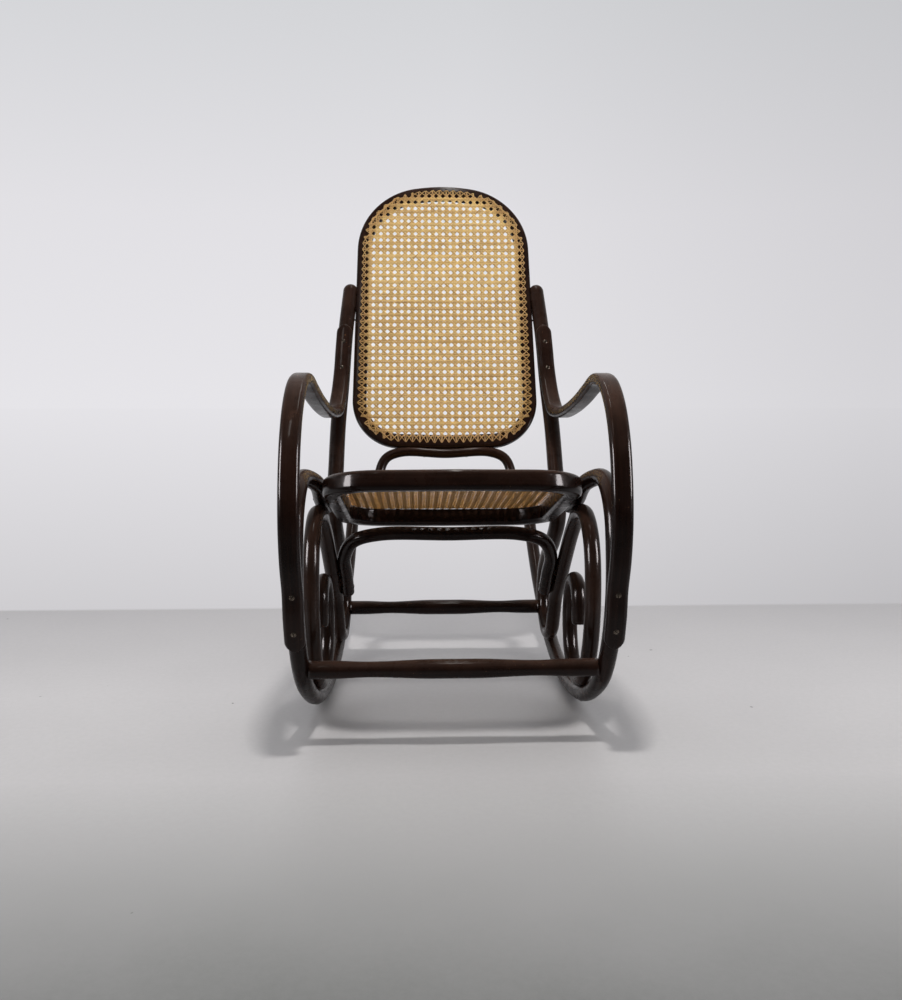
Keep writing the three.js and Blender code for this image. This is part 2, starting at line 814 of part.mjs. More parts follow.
function joined(geometry, additions) {
  let solid = solidOf(geometry);
  for (const addition of additions) {
    solid = solid.add(solidOf(addition));
  }
  return geometryOf(solid);
}

const stretcher = (at, diameter, rail, end) => joined(
  cut(stretcherBarrel(at.x - half(diameter) + lapBite, at), bothSides(rail)),
  bothSides(end),
);

const middleParts = {
  front_stretcher: stretcher(frontStretcherAt, runnerDiameter, runnerSolid(fitGap), frontTenon(0)),
  rear_stretcher: stretcher(rearStretcherAt, scrollDiameter, scrollSolid(fitGap), rearTenon(0)),
  under_seat_arch: cut(archSolid(underArch, underArchDiameter), [
    ...bothSides(scrollSolid(fitGap)),
    ...throughScrews('under_seat_arch').flatMap(bothSides),
  ]),
  back_arch: joined(
    cut(archSolid(backArch, backArchDiameter), [
      grownBackRing,
      grownSeatRing,
      ...bothSides(backArchScrew(1)(fitGap)),
    ]),
    bothSides(backArchPeg(0)),
  ),
};

// Scene

const chair = new THREE.Group();

function add(name, geometry, finish, place) {
  const mesh = new THREE.Mesh(geometry, new THREE.MeshStandardMaterial(materials[finish]));
  mesh.name = name;
  if (place) {
    geometry.applyMatrix4(place.matrixWorld.clone().invert());
    place.add(mesh);
  } else {
    chair.add(mesh);
  }
}

add('seat_ring', cut(seatRing, [
  ...bothSides(backArchPeg(fitGap)),
  ...throughScrews('seat_ring').flatMap(bothSides),
]), 'lacquer', seatPlace);
add('back_frame', cut(backRing, [
  ...throughScrews('back_frame').flatMap(bothSides),
  ...bothSides(backArchScrew(1)(fitGap)),
]), 'lacquer', backPlace);

const seatCaneInset = seatRailWidth - seatCaneOverlap;
const backCaneInset = backRailWidth - backCaneOverlap;
add('seat_cane', inSeat(caneSheet(seatCorners, seatCaneInset).translate(0, 0, fitGap)), 'cane', seatPlace);
add('back_cane', inBack(caneSheet(backCorners, backCaneInset).translate(0, 0, fitGap)), 'cane', backPlace);

for (const [name, geometry] of Object.entries(middleParts)) {
  add(name, geometry, 'lacquer');
}
for (const [name, geometry] of Object.entries(sideParts)) {
  add(`left_${name}`, geometry, 'lacquer');
  add(`right_${name}`, mirrored(geometry), 'lacquer');
}
for (const [name, item] of Object.entries(sideScrews)) {
  const geometry = geometryOf(solidOf(item.make(0)));
  add(`left_${name}`, geometry, 'steel');
  add(`right_${name}`, mirrored(geometry), 'steel');
}
const archScrew = geometryOf(solidOf(backArchScrew(1)(0)));
add('left_back_arch_screw', archScrew, 'steel');
add('right_back_arch_screw', mirrored(archScrew), 'steel');

chair.add(seatPlace, backPlace);

export default chair;
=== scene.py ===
"""Bentwood rocking chair: bent rails, six-way caning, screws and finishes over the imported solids."""

import math

import bmesh
import bpy
import numpy as np
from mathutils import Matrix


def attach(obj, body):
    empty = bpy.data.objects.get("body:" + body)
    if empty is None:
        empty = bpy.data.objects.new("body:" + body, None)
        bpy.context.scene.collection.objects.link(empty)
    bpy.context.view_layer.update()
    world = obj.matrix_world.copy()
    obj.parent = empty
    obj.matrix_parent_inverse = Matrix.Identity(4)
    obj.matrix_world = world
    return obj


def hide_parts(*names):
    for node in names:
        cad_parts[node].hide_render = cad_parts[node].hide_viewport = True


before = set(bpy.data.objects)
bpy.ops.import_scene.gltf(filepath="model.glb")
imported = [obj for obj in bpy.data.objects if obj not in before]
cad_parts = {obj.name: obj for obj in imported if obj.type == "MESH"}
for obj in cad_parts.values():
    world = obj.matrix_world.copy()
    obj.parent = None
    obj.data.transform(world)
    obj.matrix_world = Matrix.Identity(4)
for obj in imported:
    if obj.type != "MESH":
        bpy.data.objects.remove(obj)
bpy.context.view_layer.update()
MM = 0.001

# The chair's depth and height in millimetres
DEPTH = 1010
HEIGHT = 1072

# Side frames: how far they stand off the seat ring, draw together to the rear, and how far in the scroll lies
SIDE_STAND_OFF = 12
TOE_IN = 0.0356
SCROLL_INSET = 10

# Runner in the side view, as shares of depth and height, then its end on the seat ring: shares of the ring's
# length and height, and how deep the rail is let in
FLOOR_SHARE = 15 / HEIGHT
RUNNER_SHARES = [
    (0.4855, 0.311), (0.406, 0.230), (0.289, 0.138), (0.132, 0.053), (-0.003, 0.0195),
    (-0.084, FLOOR_SHARE), (-0.216, 0.029), (-0.310, 0.064), (-0.384, 0.112), (-0.429, 0.177),
    (-0.449, 0.247), (-0.447, 0.313), (-0.431, 0.373), (-0.394, 0.411), (-0.340, 0.423),
]
MEETINGS = [(0.288, 0, 0), (0.47, -0.5, 1.5), (0.615, -0.5, 1.5)]

# Stile beside the back, as shares of the back's length and of its stand-off, and at the seat's rear corner
STILE_SHARES = [(0.585, 0), (0.420, 0.6), (0.240, 0.9)]
STILE_TO_BACK = 13
STILE_AHEAD = 10
STILE_SEAT_ANGLE = 20
STILE_SEAT_REACH = 115

# Scroll in the side view, as shares of depth and height, and the places where it rests on the runner
LOWER_STILE = [(0.076, 0.494), (0.032, 0.417)]
TURN = [(0.045, 0.263), (0.106, 0.224), (0.142, 0.189), (0.158, 0.147), (0.144, 0.098)]
TURN_FOOT = (0.098, 0.040)
RISE = [
    (0.0465, 0.082), (0.025, 0.119), (0.005, 0.157), (-0.043, 0.203),
    (-0.087, 0.247), (-0.1465, 0.303), (-0.193, 0.338),
]
LOOP_CROWN = (-0.213, 0.375)
LOOP = [
    (-0.270, 0.3545), (-0.312, 0.328), (-0.332, 0.291), (-0.340, 0.241),
    (-0.338, 0.191), (-0.325, 0.142), (-0.298, 0.097),
]
SCROLL_FOOT = (-0.2485, 0.039)
SPIRAL = [
    (-0.193, 0.067), (-0.159, 0.098), (-0.145, 0.145), (-0.1515, 0.193),
    (-0.181, 0.227), (-0.219, 0.217), (-0.234, 0.164),
]
RUNNER_TO_SCROLL = 28

# Arm in the side view, with its share of the scroll's inset, and its laps on the stile and the runner
STILE_LAPS = [(0.152, 0.675), (0.133, 0.638), (0.116, 0.602)]
STILE_TO_ARM = 20.5
ARM_SHARES = [
    (0.078, 0.552, 1.2), (0.042, 0.524, 0.9), (-0.013, 0.519, 0.6), (-0.102, 0.529, 0.3),
    (-0.191, 0.547, 0.1), (-0.255, 0.564, 0), (-0.320, 0.579, 0), (-0.381, 0.570, 0), (-0.429, 0.537, 0),
    (-0.463, 0.487, 0), (-0.482, 0.429, 0), (-0.490, 0.368, 0), (-0.484, 0.312, 0),
]
RUNNER_LAPS = [(-0.449, 0.264), (-0.4445, 0.230), (-0.436, 0.195)]
RUNNER_TO_ARM = 21

# Arches: places of foot and crown, and in millimetres their corners and the sag of the bar
UNDER_ARCH_FOOT = (-0.011, 0.173)
UNDER_ARCH_IN = 26.25
UNDER_ARCH_CROWN = (-0.140, 0.304)
UNDER_ARCH_CORNER = 72
BACK_ARCH_HALF_WIDTH = 142
BACK_ARCH_INSET = 15
BACK_ARCH_UP = -6
BACK_ARCH_CORNER = 48
BACK_ARCH_SAG = 3

# Panels: length, corners as x, y and radius in millimetres, then the panel's foot and its slope from level
SEAT_LENGTH = 510
SEAT_CORNERS = [
    (-222, 8, 100), (0, 0, 500), (222, 8, 100),
    (225, SEAT_LENGTH - 8, 100), (0, SEAT_LENGTH, 500), (-225, SEAT_LENGTH - 8, 100),
]
BACK_LENGTH = 624.2
BACK_SHOULDER = BACK_LENGTH - 26
BACK_CORNERS = [
    (-203, 6, 104), (0, 0, 520), (203, 6, 104),
    (190, BACK_SHOULDER, 155), (0, BACK_LENGTH, 372), (-190, BACK_SHOULDER, 155),
]
SEAT_PLACE = ((0.0, -428.24, 475.65), -14.85)
BACK_PLACE = ((0.0, 76.05, 480.04), 71.5)

# Flat sections: width, thickness, radius of the corners and of the inner top corner, swell of the long faces
SEAT_RING = (31, 34, 8.5, 2.5, 0.0)
BACK_FRAME = (30, 22, 6, 6, 0.0)
ARM_STRIP = (34, 19, 8, 8, 0.5)

# Round sections: diameters. The scroll thins by some millimetres, from a share of its length and over another
RUNNER_DIAMETER = 30
SCROLL_DIAMETER = 33
SCROLL_THINNED = 4
THINS_FROM = 0.15
THINS_OVER = 0.2
UNDER_ARCH_DIAMETER = 26.5
BACK_ARCH_DIAMETER = 21

# Ends of the rails: length of the rounding, its shares across and outward, and what is left of a tip at least
RUNNER_END = (15, 1, 1)
STILE_END = (16.5, 1, 1)
SPIRAL_END = (8, 0.35, 0.35)
ARM_END = (17, 1, 0)
ARCH_END = (1.5, 0.3, 0.3)
LEAST_END = 0.02

# Stretchers: stations of share and diameter from the middle outwards, place in y and z, and half length
BARREL = [(0.0, 33), (0.14, 33), (0.58, 26.5), (0.86, 30.5), (1.0, 30.5)]
FRONT_STRETCHER = ((-401.5, 135.8), 243.0)
REAR_STRETCHER = ((150.8, 114.1), 213.5)

# Distance between the pairs of the caning
PITCH = 15.64

# Screws: head and slot in millimetres, and the places of the head's rows as shares of its radius
HEAD_RADIUS = 4.5
HEAD_RISE = 0.86
HEAD_ROWS = (-0.999, -0.9, -0.72, -0.5, -0.3)
HALF_SLOT = 0.55
SLOT_DEPTH = 1.0

# Below the head: radius and height of the countersink's rings, then the shank, its taper and its blunt point
COUNTERSINK = [(4.4, -1.1), (2.25, -3.4)]
SHANK_RADIUS = 2.1
TAPER_LENGTH = 5
POINT_RADIUS = 0.2
POINT_SHORT = 0.3
LOOP_SCREW_TRIM = 20.0  # keeps the point inside the loop

# How finely the shapes are drawn: millimetres between rings, and counts of steps, rings, sides and columns
CURVE_STEPS = 40
SEARCH_STEPS = 2000
RAIL_STEP = 6.0
RING_STEP = 7.0
EDGE_STEP = 4.0
RAIL_SIDES = 24
CORNER_STEPS = 5
END_STEPS = 7
TURNED_RINGS = 81
TURNED_SIDES = 32
CUP_SIDES = 12
SHANK_SIDES = 24
HEAD_COLUMNS = 13

# Direction across the chair
ACROSS = np.array([1.0, 0.0, 0.0])


# Curves and sections

def unit(vectors):
    return vectors / np.linalg.norm(vectors, axis=-1, keepdims=True)


def smooth(share):
    """Share from 0 to 1 that starts and ends gently."""
    return share * share * (3 - 2 * share)


def lengths_along(points):
    """Length of a line of points up to each of them."""
    return np.append(0, np.cumsum(np.linalg.norm(np.diff(points, axis=0), axis=1)))


def lengths_around(points):
    """Length of a closed loop up to each of its points, with the whole length last."""
    return np.append(0, np.cumsum(np.linalg.norm(np.roll(points, -1, axis=0) - points, axis=1)))


def curve(points, steps):
    """Places on a centripetal curve through the points, with so many steps to a span, and shares along it."""
    p = np.array(points, float)
    p = np.vstack([2 * p[0] - p[1], p, 2 * p[-1] - p[-2]])
    places, shares = [], []
    spans = len(points) - 1
    t = np.linspace(0, 1, steps + 1)[:-1, None]
    for i in range(spans):
        x0, x1, x2, x3 = p[i:i + 4]
        d0, d1, d2 = (np.linalg.norm(b - a) ** 0.5 for a, b in ((x0, x1), (x1, x2), (x2, x3)))
        t1 = ((x1 - x0) / d0 - (x2 - x0) / (d0 + d1) + (x2 - x1) / d1) * d1
        t2 = ((x2 - x1) / d1 - (x3 - x1) / (d1 + d2) + (x3 - x2) / d2) * d1
        square = 3 * (x2 - x1) - 2 * t1 - t2
        cube = 2 * (x1 - x2) + t1 + t2
        places.append(x1 + t1 * t + square * t**2 + cube * t**3)
        shares.append((i + t[:, 0]) / spans)
    return np.vstack(places + [p[-2:-1]]), np.append(np.concatenate(shares), 1.0)


def spline(points):
    """Evenly spaced places on a curve through the points, with tangents and shares along it."""
    fine, shares = curve(points, CURVE_STEPS)
    length = lengths_along(fine)
    at = np.linspace(0, length[-1], round(length[-1] / RAIL_STEP) + 1)
    places = np.stack([np.interp(at, length, fine[:, k]) for k in range(3)], axis=1)
    return places, unit(np.gradient(places, axis=0)), np.interp(at, length, shares)


def mirrored(line):
    return [(-x, y, z) for x, y, z in line]


def round_section(diameter, sides=RAIL_SIDES):
    angle = np.linspace(0, 2 * math.pi, sides, endpoint=False) + math.pi / 2
    return np.stack([np.cos(angle), np.sin(angle)], axis=1) * diameter / 2


def flat_section(width, thickness, corner, inner, swell):
    """Rounded rectangle with its own radius at the inner top corner, and with swelling long faces."""
    points = []
    for quarter, (sx, sy) in enumerate(((1, 1), (-1, 1), (-1, -1), (1, -1))):
        r = inner if quarter == 1 else corner
        centre = np.array([sx * (width / 2 - r), sy * (thickness / 2 - r)])
        for step in range(CORNER_STEPS + 1):
            a = (quarter + step / CORNER_STEPS) * math.pi / 2
            points.append(centre + r * np.array([math.cos(a), math.sin(a)]))
    points = np.array(points)
    points[:, 1] += np.sign(points[:, 1]) * swell * (1 - (2 * points[:, 0] / width) ** 2)
    return points


def outline(corners, inset, step):
    """Points and outward normals of a rounded outline, moved in by the inset."""
    xy = np.array([c[:2] for c in corners], float)
    along = unit(np.roll(xy, -1, axis=0) - xy)
    inward = np.stack([-along[:, 1], along[:, 0]], axis=1)
    start = xy + inward * inset
    points, normals = [], []
    for i, (_, _, radius) in enumerate(corners):
        a, b = along[i - 1], along[i]
        cross = a[0] * b[1] - a[1] * b[0]
        turn = math.atan2(cross, a @ b)
        gap = start[i] - start[i - 1]
        corner = start[i - 1] + a * ((gap[0] * b[1] - gap[1] * b[0]) / cross)
        r = radius - inset
        side = np.array([-a[1], a[0]])
        centre = corner - a * r * math.tan(turn / 2) + side * r
        first = math.atan2(-side[1], -side[0])
        angle = first + turn * np.linspace(0, 1, round(turn * radius / step) + 1)
        normal = np.stack([np.cos(angle), np.sin(angle)], axis=1)
        points.append(centre + r * normal)
        normals.append(normal)
    points = np.vstack(points + [points[0][:1]])
    normals = np.vstack(normals + [normals[0][:1]])
    length = lengths_along(points)
    at = np.arange(0, length[-1] - step / 2, step)
    places = np.stack([np.interp(at, length, points[:, k]) for k in (0, 1)], axis=1)
    outward = np.stack([np.interp(at, length, normals[:, k]) for k in (0, 1)], axis=1)
    return places, unit(outward)


def placed(points, place):
    """Panel points (across, along, out of the face) in the chair's frame."""
    foot, slope = place
    c, s = math.cos(math.radians(slope)), math.sin(math.radians(slope))
    x, y, z = points[..., 0], points[..., 1], points[..., 2]
    return np.stack([x + foot[0], y * c - z * s + foot[1], y * s + z * c + foot[2]], axis=-1)


# Centre lines of the bent rails, for the left side of the chair

def on_seat(x, y, z):
    return placed(np.array([x, y, z], float), SEAT_PLACE)


def on_back(x, y, z):
    return placed(np.array([x, y, z], float), BACK_PLACE)


def half_width(corners, y):
    """Half the panel's width at a distance along it, between its wide corners."""
    (low_x, low_y, _), (high_x, high_y, _) = corners[2:4]
    return low_x + (high_x - low_x) * (y - low_y) / (high_y - low_y)


def meeting_points():
    """Points of the runner's end, along the side of the seat ring."""
    points = []
    for share, height, bite in MEETINGS:
        y = share * SEAT_LENGTH
        x = half_width(SEAT_CORNERS, y) + RUNNER_DIAMETER / 2 - bite
        points.append(on_seat(x, y, height * SEAT_RING[1]))
    return points


def side_point(y, z, inward=0):
    """Point in the plane of the side frame, from shares of depth, height and the scroll's inset."""
    near_x, near_y, _ = meeting_points()[1]
    x = near_x + SIDE_STAND_OFF - TOE_IN * (y * DEPTH - near_y) - inward * SCROLL_INSET
    return np.array([x, y * DEPTH, z * HEIGHT])


def beside(line, place, distance):
    """Point off a line where it's nearest to a place in the side view: below a runner, behind a stile."""
    fine, _ = curve(line, SEARCH_STEPS)
    near = np.argmin(np.hypot(fine[:, 1] - place[0] * DEPTH, fine[:, 2] - place[1] * HEIGHT))
    outward = np.cross(ACROSS, fine[near + 1] - fine[near - 1])
    return fine[near] + unit(outward) * distance


def runner_line():
    return [side_point(*place) for place in RUNNER_SHARES] + meeting_points()


def stile_point(share, stand_off):
    """Point of the stile beside the back."""
    y = share * BACK_LENGTH
    x = half_width(BACK_CORNERS, y) + STILE_TO_BACK + stand_off * SIDE_STAND_OFF
    return on_back(x, y, stand_off * STILE_AHEAD - BACK_FRAME[1] / 2)


def stile_at_seat():
    """Point of the stile where it bears on the rounded rear corner of the seat ring."""
    corner_x, corner_y, radius = SEAT_CORNERS[3]
    angle = math.radians(STILE_SEAT_ANGLE)
    x = corner_x - radius + STILE_SEAT_REACH * math.cos(angle)
    y = corner_y - radius + STILE_SEAT_REACH * math.sin(angle)
    return on_seat(x, y, -SEAT_RING[1] / 2)


def scroll_line(runner):
    """Stile, turn, rising strip, loop and small spiral, in one line."""
    inset_rise = math.sqrt(RUNNER_TO_SCROLL**2 - SCROLL_INSET**2)
    inset = np.array([SCROLL_INSET, 0, 0])
    return [
        *(stile_point(*place) for place in STILE_SHARES),
        *(side_point(*place, 1) for place in LOWER_STILE),
        stile_at_seat(),
        *(side_point(*place, 1) for place in TURN),
        beside(runner, TURN_FOOT, -inset_rise) - inset,
        *(side_point(*place, 1) for place in RISE),
        beside(runner, LOOP_CROWN, -RUNNER_TO_SCROLL),
        *(side_point(*place, 1) for place in LOOP),
        beside(runner, SCROLL_FOOT, -inset_rise) - inset,
        *(side_point(*place, 1) for place in SPIRAL),
    ]


def arm_line(runner, scroll):
    return [
        *(beside(scroll, place, -STILE_TO_ARM) for place in STILE_LAPS),
        *(side_point(*place) for place in ARM_SHARES),
        *(beside(runner, place, RUNNER_TO_ARM) for place in RUNNER_LAPS),
    ]


def arch_line(foot, crown, corner, sag):
    """Two legs and a bar, bent in a plane through a foot on each side and a crown between them."""
    rise = crown - foot
    rise[0] = 0
    height = np.linalg.norm(rise)
    bend = corner * (1 - math.sqrt(0.5))
    leg = foot[0]
    stations = [
        (leg, 0), (leg, (height - corner) / 2), (leg, height - corner),
        (leg - bend, height - bend), (leg - corner, height), (0, height - sag),
    ]
    left = [np.array([x, foot[1], foot[2]]) + unit(rise) * along for x, along in stations]
    return left + mirrored(left[-2::-1])


def under_arch_line(scroll):
    foot = beside(scroll, UNDER_ARCH_FOOT, 0)
    foot[0] -= UNDER_ARCH_IN
    return arch_line(foot, side_point(*UNDER_ARCH_CROWN), UNDER_ARCH_CORNER, 0)


def back_arch_line():
    foot = on_seat(BACK_ARCH_HALF_WIDTH, SEAT_LENGTH - BACK_ARCH_INSET, 0)
    crown = on_back(0, BACK_ARCH_UP, -BACK_FRAME[1] / 2)
    return arch_line(foot, crown, BACK_ARCH_CORNER, BACK_ARCH_SAG)


# Meshes

def add_piece(name, verts, faces, uvs, material, nodes=(), rounded=True):
    """A mesh from points in millimetres, its faces and one UV for each corner of each face."""
    mesh = bpy.data.meshes.new(name)
    mesh.from_pydata((np.asarray(verts) * MM).tolist(), [], faces)
    layer = mesh.uv_layers.new(name="length")
    layer.data.foreach_set("uv", np.asarray(uvs, dtype=np.float32).ravel())
    work = bmesh.new()
    work.from_mesh(mesh)
    bmesh.ops.recalc_face_normals(work, faces=work.faces)
    work.to_mesh(mesh)
    work.free()
    mesh.polygons.foreach_set("use_smooth", [rounded] * len(mesh.polygons))
    piece = bpy.data.objects.new(name, mesh)
    bpy.context.scene.collection.objects.link(piece)
    mesh.materials.append(material)
    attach(piece, "root")
    if nodes:
        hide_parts(*nodes)
    return piece


def band_faces(first, rings, sides, closed=False):
    """Faces between rings of equally many points, whose vertices follow each other from the first one on."""
    faces = []
    for i in range(rings if closed else rings - 1):
        a = first + i * sides
        b = first + (i + 1) % rings * sides
        for k in range(sides):
            n = (k + 1) % sides
            faces.append((a + k, a + n, b + n, b + k))
    return faces


def skin(rings, lengths, closed=False):
    """Points, faces and UVs over rings of equally many points. U runs along and V round, in metres."""
    rings = np.asarray(rings)
    count, sides = rings.shape[:2]
    girth = lengths_around(rings[count // 2]) * MM
    u = np.asarray(lengths) * MM
    faces = band_faces(0, count, sides, closed)
    uvs = []
    for i in range(count if closed else count - 1):
        for k in range(sides):
            low, high = girth[k], girth[k + 1]
            uvs += [(u[i], low), (u[i], high), (u[i + 1], high), (u[i + 1], low)]
    if not closed:
        for ring, order in ((0, range(sides)), (count - 1, range(sides - 1, -1, -1))):
            faces.append(tuple(ring * sides + k for k in order))
            uvs += [(u[ring], girth[k]) for k in order]
    return rings.reshape(-1, 3), faces, uvs


def end_rings(place, tangent, section, end, sign):
    """Centre, direction and section of the rings that round the end of a rail, from the rail outwards."""
    length, across, outward = end
    rings = []
    for angle in np.linspace(0, math.pi / 2, END_STEPS + 1)[1:]:
        lost = 1 - max(math.cos(angle), LEAST_END)
        shrink = np.array([1 - across * lost, 1 - outward * lost])
        rings.append((place + sign * tangent * length * math.sin(angle), tangent, section * shrink))
    return rings


def rail(name, line, section, level, ends, material, node):
    """A rail bent along a line. Its section is a function of the share of its length."""
    body = [(place, tangent, section(share)) for place, tangent, share in zip(*spline(line))]
    before = end_rings(*body[0], ends[0], -1)
    after = end_rings(*body[-1], ends[1], 1)
    centres, directions, sections = (np.array(part) for part in zip(*before[::-1], *body, *after))
    out = unit(np.cross(np.broadcast_to(level, directions.shape), directions))
    across = np.cross(directions, out)
    rings = centres[:, None] + sections[:, :, :1] * across[:, None] + sections[:, :, 1:] * out[:, None]
    verts, faces, uvs = skin(rings, lengths_along(centres))
    return add_piece(name, verts, faces, uvs, material, (node,))


def bent_ring(name, corners, place, size, material, node):
    """A closed hoop with a flat section, whose top face lies in the panel's plane."""
    width, thickness = size[:2]
    section = flat_section(*size)
    middle, normal = outline(corners, width / 2, RING_STEP)
    flat = np.zeros((len(middle), len(section), 3))
    flat[:, :, :2] = middle[:, None] + section[None, :, :1] * normal[:, None]
    flat[:, :, 2] = section[None, :, 1] - thickness / 2
    verts, faces, uvs = skin(placed(flat, place), lengths_around(middle), closed=True)
    return add_piece(name, verts, faces, uvs, material, (node,))


def turned(name, at, reach, material, node):
    """A stretcher turned about the X direction, with the barrel's profile on both sides of its middle."""
    x = np.linspace(-1, 1, TURNED_RINGS)
    share = np.abs(x)
    stations = np.array(BARREL)
    low = np.clip(np.searchsorted(stations[:, 0], share, side="right") - 1, 0, len(stations) - 2)
    t = smooth((share - stations[low, 0]) / (stations[low + 1, 0] - stations[low, 0]))
    radius = (stations[low, 1] * (1 - t) + stations[low + 1, 1] * t) / 2
    circle = round_section(2.0, TURNED_SIDES)
    rings = np.zeros((len(x), len(circle), 3))
    rings[:, :, 0] = x[:, None] * reach
    rings[:, :, 1] = at[0] + radius[:, None] * circle[None, :, 0]
    rings[:, :, 2] = at[1] + radius[:, None] * circle[None, :, 1]
    verts, faces, uvs = skin(rings, (x + 1) * reach)
    return add_piece(name, verts, faces, uvs, material, (node,))


# Caning

# Pairs: half the distance between the two strands, their width, and their height about the weave's middle
HALF_PAIR = 1.8
PAIR_WIDTH = 3.25
PAIR_LAYER = 0.35

# Diagonals: width, then the run to the side and the height of the wave of each set
SLANT_WIDTH = 3.5
SLANTS = ((-1.0, -0.25), (1.0, 0.95))

# Round a strand's section: shares of its width and thickness. Then that thickness and the weave's height
STRAND_SECTION = ((-1, -0.4), (-0.55, 0.75), (0, 1), (0.55, 0.75), (1, -0.4), (0, -1))
STRAND_THICKNESS = 0.3
WEAVE_HEIGHT = 1.35

# Ends of a strand: its rings near the hole, where the even ones begin, and the height of its last ring
NEAR_HOLE = np.array([0.0, 1.2, 4.0, 7.0, 10.0, 13.0])
EVEN_FROM = 16
END_HEIGHT = -1.2

# Towards a hole, a strand is pulled sideways, a pair closes up, and strands grow slimmer
PULL_LENGTH = 17.0
PULL_CLOSER = 0.75
SLIM_FROM = 21
SLIM_OVER = 9
SLIMMER = 0.5

# Least distance between holes, in rows
LEAST_HOLE_GAP = 0.66

# Chance: how far a strand misses the hole's middle, strays, ripples, lies high or low and differs in width
HOLE_PLAY = 0.5
STRAY = 0.2
RIPPLE = 0.15
RIPPLE_LENGTHS = (30, 70)
RIPPLE_START = 6
HEIGHT_PLAY = 0.04
WIDTH_PLAY = (0.95, 1.04)

# Darker cane near the holes, partly stain and partly painted shade where the strands lie over the dark frame:
# where it begins, and over which distance
DARK_FROM = 21.0
DARK_OVER = 4.0

# Mouths of the holes: diameters and heights of the rings
CUP = ((5.2, -0.3), (5.0, 0.12), (4.0, 0.16), (2.0, 0.1))


def inside_range(polygon, origin, direction):
    """Where a straight line enters and leaves a convex polygon, as distances, or None."""
    edge = np.roll(polygon, -1, axis=0) - polygon
    gap = polygon - origin
    cross = direction[0] * edge[:, 1] - direction[1] * edge[:, 0]
    with np.errstate(divide="ignore", invalid="ignore"):
        along = (gap[:, 0] * edge[:, 1] - gap[:, 1] * edge[:, 0]) / cross
        share = (gap[:, 0] * direction[1] - gap[:, 1] * direction[0]) / cross
    hits = along[(share >= 0) & (share < 1) & np.isfinite(along)]
    if len(hits) < 2 or hits.max() - hits.min() < PITCH:
        return None
    return hits.min(), hits.max()


class Weave:
    """Plan of a caning, flat in the panel: the outline that its strands end on, its pairs and its holes."""

    def __init__(self, corners, inset, rows, margin):
        """Inset of the holes, rows up to the weave's middle, and rows that a pair keeps off the outline."""
        self.edge, _ = outline(corners, inset, EDGE_STEP)
        low, high = self.edge.min(axis=0), self.edge.max(axis=0)
        self.centre = (low + high) / 2
        self.half_size = (high - low) / 2
        self.middle = np.array([0.0, rows * PITCH])
        self.reach = int((high - low).max() / PITCH) + 3
        self.pairs = self.pair_places(margin)
        self.holes = self.hole_places()

    def steps(self, reach):
        """Distances of a set of lines from the weave's middle."""
        return (np.arange(-reach, reach) + 0.5) * PITCH

    def pair_places(self, margin):
        """Origins and directions of the pairs, without those that run along the frame itself."""
        kept = []
        for step in self.steps(self.reach):
            for direction in (np.array([0.0, 1.0]), np.array([1.0, 0.0])):
                origin = direction[::-1] * step + self.middle
                found = inside_range(self.edge, origin, direction)
                if found is None:
                    continue
                centre = origin + direction * sum(found) / 2
                if np.linalg.norm(self.edge - centre, axis=1).min() > PITCH * margin:
                    kept.append((origin, direction))
        return kept

    def hole_places(self):
        """Where the pairs meet the outline, in order round it, with the crowded places left out."""
        found = []
        for origin, direction in self.pairs:
            ends = inside_range(self.edge, origin, direction)
            found += [origin + direction * distance for distance in ends]
        found = np.array(found)
        around = found - self.centre
        order = np.argsort(np.arctan2(around[:, 1], around[:, 0]))
        kept = [found[order[0]]]
        for place in found[order[1:]]:
            gap = min(np.linalg.norm(place - kept[-1]), np.linalg.norm(place - kept[0]))
            if gap > PITCH * LEAST_HOLE_GAP:
                kept.append(place)
        return np.array(kept)

    def nearest_hole(self, place):
        return self.holes[np.argmin(np.sum((self.holes - place) ** 2, axis=1))]

    def strands(self):
        """Origin, direction, distance from the pair's middle, layer, wave and width of every strand."""
        lines = []
        for origin, direction in self.pairs:
            layer = -PAIR_LAYER if direction[1] else PAIR_LAYER
            for side in (-HALF_PAIR, HALF_PAIR):
                lines.append((origin, direction, side, layer, 0.0, PAIR_WIDTH))
        for step in self.steps(2 * self.reach):
            origin = np.array([step, 0.0]) + self.middle
            for run, wave in SLANTS:
                lines.append((origin, unit(np.array([run, 1.0])), 0.0, 0.0, wave, SLANT_WIDTH))
        return lines


def strand_stations(start, finish, direction):
    """Distances along a strand: close together at the holes, and in between tied to the pitch."""
    diagonal = direction[0] * direction[1] != 0
    pace = PITCH / 4 * (math.sqrt(2) if diagonal else 2)
    even = np.arange(math.ceil(start / pace), math.floor(finish / pace) + 1) * pace
    even = even[(even > start + EVEN_FROM) & (even < finish - EVEN_FROM)]
    return np.concatenate([start + NEAR_HOLE, even, finish - NEAR_HOLE[::-1]])


